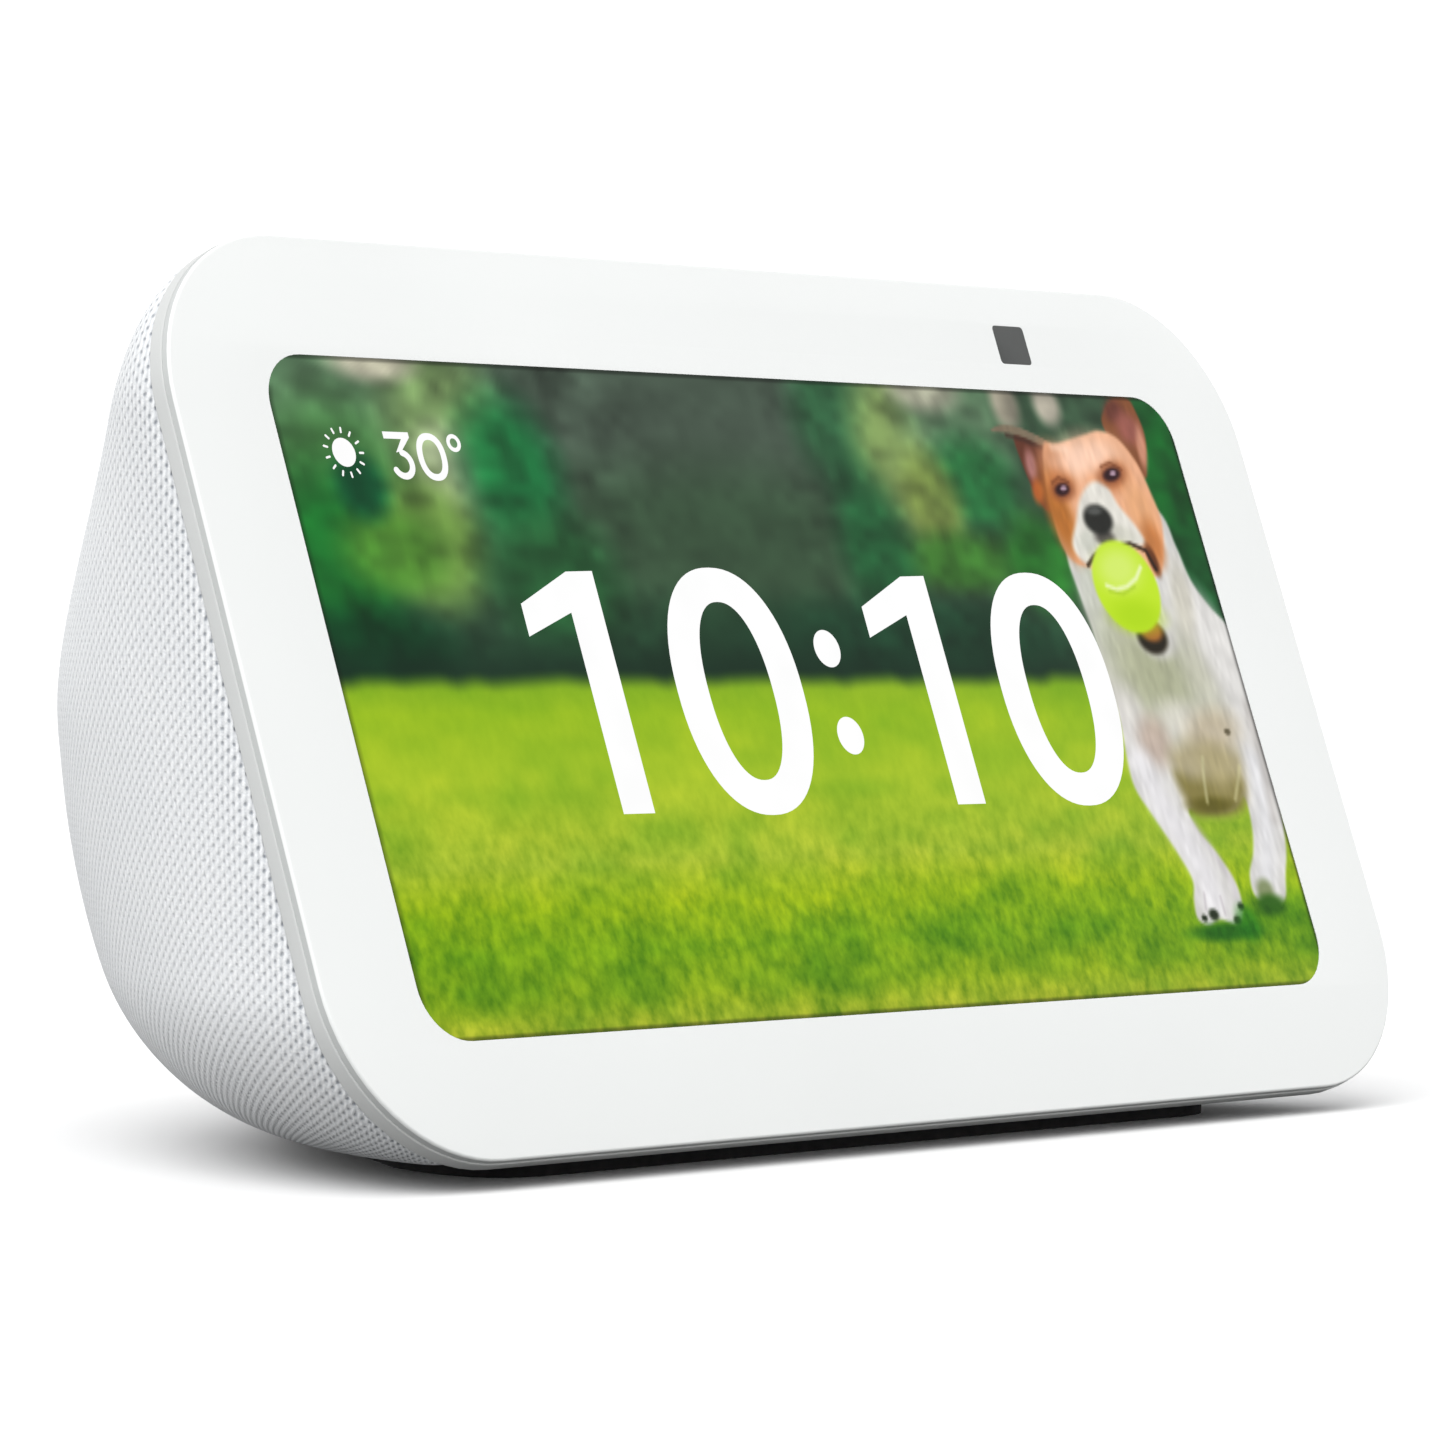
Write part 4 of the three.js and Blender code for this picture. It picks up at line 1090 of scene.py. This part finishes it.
def display_picture():
    u, v = display_points()
    rows, across = u.shape
    canvas = Canvas(u.ravel(), v.ravel())
    grass = paint_garden(canvas)
    before = canvas.colour.copy()
    paint_body(canvas)
    paint_ears(canvas)
    paint_head(canvas)
    paint_face(canvas)
    paint_ball(canvas)
    dog = np.abs(canvas.colour - before).max(axis=1) > 0.02
    fur = value_noise(canvas.spots, (0.45, 1.3), 7) + value_noise(canvas.spots, (1.1, 2.4), 8) - 1
    ball = canvas.ellipse(BALL, BALL_SIZE) < 1
    canvas.colour[dog & ~ball] *= (1 + 0.08 * fur)[dog & ~ball, None]
    paint_paws(canvas)
    border = (np.array(DISPLAY) / 2 - np.abs(canvas.spots)).min(axis=1)
    canvas.colour *= (0.55 + 0.45 * smoothstep(0.1, 0.55, border))[:, None]
    top = np.column_stack((canvas.spots + [0, DISPLAY_Y], np.full(len(grass), PICTURE_TOP)))
    faces = [(r * across + c, r * across + c + 1, (r + 1) * across + c + 1, (r + 1) * across + c)
             for r in range(rows - 1) for c in range(across - 1)]
    rim = [r * across for r in range(rows - 1, -1, -1)] + list(range(across))[1:]
    rim += [r * across + across - 1 for r in range(1, rows)]
    rim += [(rows - 1) * across + c for c in range(across - 2, 0, -1)]
    low = top[rim] * [1, 1, 0] + [0, 0, DISPLAY_REAR]
    start = len(top)
    for i in range(len(rim)):
        j = (i + 1) % len(rim)
        faces.append((rim[i], start + i, start + j, rim[j]))
    faces.append(tuple(range(start, start + len(rim)))[::-1])
    points = np.vstack((top, low))
    made = piece("display_panel", placed((points, faces), PANEL), PICTURE,
                 replaces=["display_module"], sharp=40, repair=False)
    paint = made.data.color_attributes.new("picture", "FLOAT_COLOR", "POINT")
    colours = np.zeros((len(points), 4))
    colours[:, 3] = 1
    colours[: len(top), :3] = linear(np.clip(canvas.colour, 0, 1) * 255)
    paint.data.foreach_set("color", colours.ravel())
    mask = made.data.attributes.new("grass", "FLOAT", "POINT")
    shares = np.zeros(len(points))
    shares[: len(top)] = np.where(dog, 0, grass)
    mask.data.foreach_set("value", shares)


def stroke(points, width):
    """An outline round a line of points, with round ends."""
    line = np.array(points, float)
    way = np.gradient(line, axis=0)
    way /= np.linalg.norm(way, axis=1)[:, None]
    side = np.column_stack((-way[:, 1], way[:, 0])) * width / 2
    first = math.degrees(math.atan2(way[0, 1], way[0, 0]))
    last = math.degrees(math.atan2(way[-1, 1], way[-1, 0]))
    head = arc(line[-1], width / 2, last - 90, last + 90, 8)
    tail = arc(line[0], width / 2, first + 90, first + 270, 8)
    return np.vstack(((line - side)[1:-1], head, (line + side)[::-1][1:-1], tail))


def oval(half_width_, half_height, centre, power=2.25, steps=72):
    angles = np.linspace(0, 2 * math.pi, steps, endpoint=False)
    x = half_width_ * np.sign(np.cos(angles)) * np.abs(np.cos(angles)) ** (2 / power)
    y = half_height * np.sign(np.sin(angles)) * np.abs(np.sin(angles)) ** (2 / power)
    return np.column_stack((centre[0] + x, centre[1] + y))


def display_marks():
    """The clock digits and the weather, flat white shapes on the picture: (outline, holes)."""
    marks = []
    for shift in (0, 45.5):
        one = np.array([(-32, -11.5), (-28, -11.5), (-28, 11.5), (-31.4, 11.4), (-38.1, 8.3), (-38.1, 5.2),
                        (-32, 7.5)])
        marks.append((one + [shift, 0], []))
    for centre in (-12.45, 32.9):
        marks.append((oval(8.45, 12, (centre, 0)), [oval(4.35, 8.65, (centre, 0))]))
    for v in (4.1, -4.5):
        marks.append((oval(1.75, 1.85, (0.9, v), 2), []))
    sun = (-55.1, 22.2)
    marks.append((circle(1.35, sun, 32), []))
    for k in range(13):
        angle = 2 * math.pi * k / 13
        way = np.array((math.cos(angle), math.sin(angle)))
        marks.append((stroke([sun + way * 1.9, sun + way * 2.1, sun + way * 2.3], 0.2), []))
    marks.append((oval(1.75, 2.25, (-44.45, 22.05)), [oval(1.1, 1.62, (-44.45, 22.05))]))
    marks.append((circle(0.85, (-41.35, 23.45), 32), [circle(0.46, (-41.35, 23.45), 32)]))
    marks.append((np.array([(-49.85, 24.3), (-46.75, 24.3), (-46.75, 23.8), (-48.0, 22.55), (-48.75, 22.35),
                            (-47.75, 23.65), (-49.85, 23.65)]), []))
    bowl = arc((-48.3, 21.25), 1.12, 78, -150, 20)
    marks.append((stroke(bowl, 0.62), []))
    return marks


def clock_face():
    parts = []
    for outline, holes in display_marks():
        flat = holed_plate(outline + [0, DISPLAY_Y], [hole + [0, DISPLAY_Y] for hole in holes],
                           PICTURE_TOP + 0.005, PICTURE_TOP + 0.03)
        parts.append(flat)
    piece("clock_and_weather", placed(merged(*parts), PANEL), LIT_WHITE)


# --- The top controls and the rear inlet ---


def divided(loop, step):
    """A closed loop with points added so that no edge is longer than the step."""
    points = []
    for start, end in zip(loop, np.roll(loop, -1, axis=0)):
        parts = math.ceil(np.linalg.norm(end - start) / step)
        points += [start + (end - start) * i / parts for i in range(max(parts, 1))]
    return np.array(points)


def draped(outline, holes, height, thickness, rounding, cell=1.2):
    """A skin over a curved surface: points (a, b, height), rounded at its outer edge."""
    outline = divided(np.array(outline), cell)
    holes = [divided(np.array(hole), cell) for hole in holes]
    insets = np.array([0, 0.1, 0.25, 0.5, 1.0]) * rounding
    loops = [grown(outline, -inset) for inset in insets]
    low, high = outline.min(axis=0), outline.max(axis=0)
    spots = [p for loop in loops for p in loop]
    edges = [(i, (i + 1) % len(outline)) for i in range(len(outline))]
    for hole in holes:
        start = len(spots)
        spots += list(hole)
        edges += [(start + i, start + (i + 1) % len(hole)) for i in range(len(hole))]
    canvas = Canvas(*np.array([(a, b) for a in np.arange(low[0], high[0], cell)
                               for b in np.arange(low[1], high[1], cell)]).T)
    keep = canvas.inside(loops[-1]) & (canvas.distance(loops[-1], True) > cell * 0.4)
    for hole in holes:
        keep &= ~canvas.inside(hole) & (canvas.distance(hole, True) > cell * 0.4)
    spots += list(canvas.spots[keep])
    flat, _, triangles, *_ = delaunay_2d_cdt([Vector(p) for p in spots], edges, [], 1, 1e-5)
    flat = np.array([tuple(p) for p in flat])
    middles = Canvas(*np.array([flat[list(t)].mean(axis=0) for t in triangles]).T)
    inner = np.zeros(len(triangles), bool)
    for hole in holes:
        inner |= middles.inside(hole)
    triangles = [t for t, hidden in zip(triangles, inner) if not hidden]
    edge = Canvas(*flat.T).distance(outline, True)
    share = np.clip(1 - edge / rounding, 0, 1)
    drop = rounding * (1 - np.sqrt(1 - share**2))
    top = np.column_stack((flat, np.array([height(a, b) for a, b in flat]) - drop))
    floor = top - [0, 0, thickness]
    floor[:, 2] = np.array([height(a, b) for a, b in flat]) - thickness
    count = len(top)
    uses = {}
    for t in triangles:
        for a, b in ((t[0], t[1]), (t[1], t[2]), (t[2], t[0])):
            uses[(a, b)] = uses.get((a, b), 0) + 1
    walls = [(a, b, b + count, a + count) for a, b in uses if (b, a) not in uses]
    faces = [tuple(t) for t in triangles] + [tuple(i + count for i in t)[::-1] for t in triangles] + walls
    return np.vstack((top, floor)), faces


def shutter_slot():
    """The slot in the strip that the knob's stem slides in, seen from above."""
    stem = PANEL @ Vector((0, 84.4, STEM_DEPTH))
    return rounded_rect(KNOB_WIDTH + SHUTTER_TRAVEL + 2 * GAP, 2.15, 0.5,
                        (SHUTTER_X + SHUTTER_TRAVEL / 2, stem.y), 5)


def control_strip():
    outline = pill(*STRIP_SIZE, STRIP_CENTRE, 16)
    length, width = BUTTON_SIZE
    holes = [pill(length + 2 * GAP, width + 2 * GAP, (x, BUTTON_Y - 0.1)) for x in BUTTONS.values()]
    holes += [circle(0.6, (x, BUTTON_Y + 1), 24) for x in MICROPHONES]
    holes.append(shutter_slot())
    part = draped(outline, holes, lambda x, y: surface_height(x, y) + STRIP_PROUD, 1.3, 0.25)
    piece("control_strip", part, WHITE, replaces=["top_control_strip"], sharp=50)


def button_place(x):
    top = surface_height(x, BUTTON_Y) + STRIP_PROUD
    return Matrix.Translation((x, BUTTON_Y, top)) @ Matrix.Rotation(CONTROL_TILT, 4, "X")


def icon(name):
    """Thin raised marks: a crossed ring for mute, a minus and a plus."""
    bars = [stroke([(-0.7, 0), (0, 0), (0.7, 0)], 0.3)]
    if name == "volume_up":
        bars.append(stroke([(0, -0.7), (0, 0), (0, 0.7)], 0.3))
    if name == "mute":
        bars = [stroke([(-0.55, -0.55), (0, 0), (0.55, 0.55)], 0.26)]
    low, high = BUTTON_RISE - 0.02, BUTTON_RISE + 0.03
    parts = [holed_plate(bar, [], low, high) for bar in bars]
    if name == "mute":
        parts.append(holed_plate(circle(1.0, steps=40), [circle(0.76, steps=40)], low, high))
    return merged(*parts)


def buttons():
    for name, x in BUTTONS.items():
        place = button_place(x)
        body = f"{name}_button"
        part = placed(eased_plate(pill(*BUTTON_SIZE), BUTTON_ROOT, BUTTON_RISE, 0.4), place)
        piece(f"{name}_cap", part, WHITE, body, [f"button_{name}"])
        piece(f"{name}_mark", placed(icon(name), place), ICON, body)


def port():
    """The power inlet: a flange over the cloth's cut edge and the cup inside it."""
    outer = rounded_rect(*PORT_FLANGE, 4.5, (0, PORT_HEIGHT))
    mouth = rounded_rect(*PORT_MOUTH, PORT_CORNER, (0, PORT_HEIGHT))
    flange = draped(outer, [mouth], lambda x, z: surface_edge(x, z) + STRIP_PROUD, 1.2, 0.35, 1.0)
    piece("port_flange", placed(flange, TO_REAR), WHITE, replaces=["port_bezel"],
          sharp=50)
    hole = ((PLUG_HOLE, PLUG_HOLE), PLUG_HOLE / 2 - 0.001)
    outside = ([side + 2 * PORT_WALL for side in PORT_MOUTH], PORT_CORNER + 0.8)
    rings = []
    for (size, corner), depth in (((PORT_MOUTH, PORT_CORNER), None), ((PORT_MOUTH, PORT_CORNER), PORT_FLOOR),
                                  (hole, PORT_FLOOR), (hole, PORT_BACK),
                                  (outside, PORT_BACK), (outside, None)):
        ring = rounded_rect(*size, corner, (0, PORT_HEIGHT))
        back = [surface_edge(x, z) - 0.4 if depth is None else depth for x, z in ring]
        rings.append(np.column_stack((ring, back)))
    piece("port_cup", placed(loft(rings, closed=True), TO_REAR), BLACK)


def power_socket():
    profile = [(0, 18.6), (4.4, 18.6), (4.4, 28.7), (2.95, 28.7), (2.8, 28.5), (2.8, 20)]
    profile += [(0.8, 20), (0.8, 27.2), (0.55, 27.6), (0, 27.7)]
    at = Matrix.Translation((0, 0, PORT_HEIGHT)) @ Matrix.Rotation(-math.pi / 2, 4, "X")
    piece("barrel_socket", placed(turned(profile), at), BLACK,
          replaces=["power_socket"])


def bend(start, control, end, steps=16):
    """Points along a quadratic curve, without its first point."""
    t = np.linspace(0, 1, steps + 1)[1:, None]
    start, control, end = (np.array(point) for point in (start, control, end))
    return start * (1 - t) ** 2 + control * 2 * t * (1 - t) + end * t**2


def foot():
    """The rubber foot: straight front and flanks with rounded corners, its edges chamfered."""
    low, high = node_box("foot_pad")
    front, rear = low[1], high[1]
    right = np.vstack(([(44, front)], bend((44, front), (54, front), (48, -22)), [(27, 14)],
                       bend((27, 14), (20, rear), (0, rear))))
    left = right[-2::-1] * [-1, 1]
    outline = np.vstack((right, left))
    heights = ((0.25, 0), (0.06, 0.08), (0, 0.25), (0, high[2] - 0.2), (0.2, high[2]))
    part = loft([at_height(grown(outline, -inset), z) for inset, z in heights])
    piece("rubber_foot", part, RUBBER, replaces=["foot_pad"])


def finish_frame():
    """Gives every carried-over CAD node its material."""
    for row in frame["record"]["subparts"]:
        node = frame["nodes"][row["node"]]
        node.data.materials.clear()
        is_coil = row["node"] == "voice_coil"
        node.data.materials.append(COIL if is_coil else FINISHES[row["material_slot"]])


# --- Studio ---

CAMERA_PLACE = (-403.7, -391.37, 45.17)
CAMERA_LENS = 145.05
CAMERA_DROP = 0.67
CAMERA_HEADING = -47.18
HORIZON_LIGHT = 1.3
ZENITH_LIGHT = 0.75
SUN_WAY = (0.9, 0.3, -1.0)
SUN_STRENGTH = 1.7
SUN_SPREAD = 65
FLOOR_SIZE = 16000
# The floor's colour for light that bounces off it, darker than what the camera sees.
FLOOR_BOUNCE = (0.24, 0.24, 0.24)


def camera():
    data = bpy.data.cameras.new("camera")
    data.lens = CAMERA_LENS
    data.sensor_width = 36
    data.clip_start = 0.01
    made = bpy.data.objects.new("camera", data)
    made.location = Vector(CAMERA_PLACE) * MM
    made.rotation_euler = (math.radians(90 - CAMERA_DROP), 0, math.radians(CAMERA_HEADING))
    bpy.context.scene.collection.objects.link(made)
    bpy.context.scene.camera = made


def floor():
    nodes = Nodes("pale_floor")
    cloud = nodes.ranged(nodes.noise(3, 2), 0, 1)
    seen = nodes.add("ShaderNodeLightPath").outputs["Is Camera Ray"]
    white = nodes.mixed(cloud, (0.93, 0.93, 0.93), (0.95, 0.95, 0.95))
    nodes.set(Base_Color=nodes.mixed(seen, FLOOR_BOUNCE, white), Roughness=0.9)
    nodes.set(Specular_IOR_Level=0.1)
    reach = FLOOR_SIZE / 2
    corners = [(-reach, -reach, 0), (reach, -reach, 0), (reach, reach, 0), (-reach, reach, 0)]
    mesh = bpy.data.meshes.new("floor")
    mesh.from_pydata((np.array(corners) * MM).tolist(), [], [(0, 1, 2, 3)])
    mesh.materials.append(nodes.material)
    made = bpy.data.objects.new("floor", mesh)
    bpy.context.scene.collection.objects.link(made)


def soft_sun():
    """A broad light from the front left."""
    data = bpy.data.lights.new("soft_sun", "SUN")
    data.energy = SUN_STRENGTH
    data.angle = math.radians(SUN_SPREAD)
    made = bpy.data.objects.new("soft_sun", data)
    made.rotation_euler = Vector(SUN_WAY).to_track_quat("-Z", "Y").to_euler()
    bpy.context.scene.collection.objects.link(made)


def studio():
    """White surroundings, brighter level with the object than overhead, the sun and the floor."""
    scene = bpy.context.scene
    scene.view_settings.view_transform = "Standard"
    scene.view_settings.look = "None"
    scene.world = bpy.data.worlds.new("studio")
    scene.world.use_nodes = True
    tree = scene.world.node_tree
    split = tree.nodes.new("ShaderNodeSeparateXYZ")
    height = tree.nodes.new("ShaderNodeMapRange")
    tree.links.new(tree.nodes.new("ShaderNodeTexCoord").outputs["Generated"], split.inputs[0])
    tree.links.new(split.outputs["Z"], height.inputs["Value"])
    height.inputs["To Min"].default_value = HORIZON_LIGHT
    height.inputs["To Max"].default_value = ZENITH_LIGHT
    background = tree.nodes["Background"]
    background.inputs["Color"].default_value = (1, 1, 1, 1)
    tree.links.new(height.outputs["Result"], background.inputs["Strength"])
    soft_sun()
    floor()


camera()
studio()
finish_frame()
fabric_cover()
panel_rim()
cover_glass()
camera_lens()
display_picture()
clock_face()
shutter()
control_strip()
buttons()
port()
power_socket()
foot()
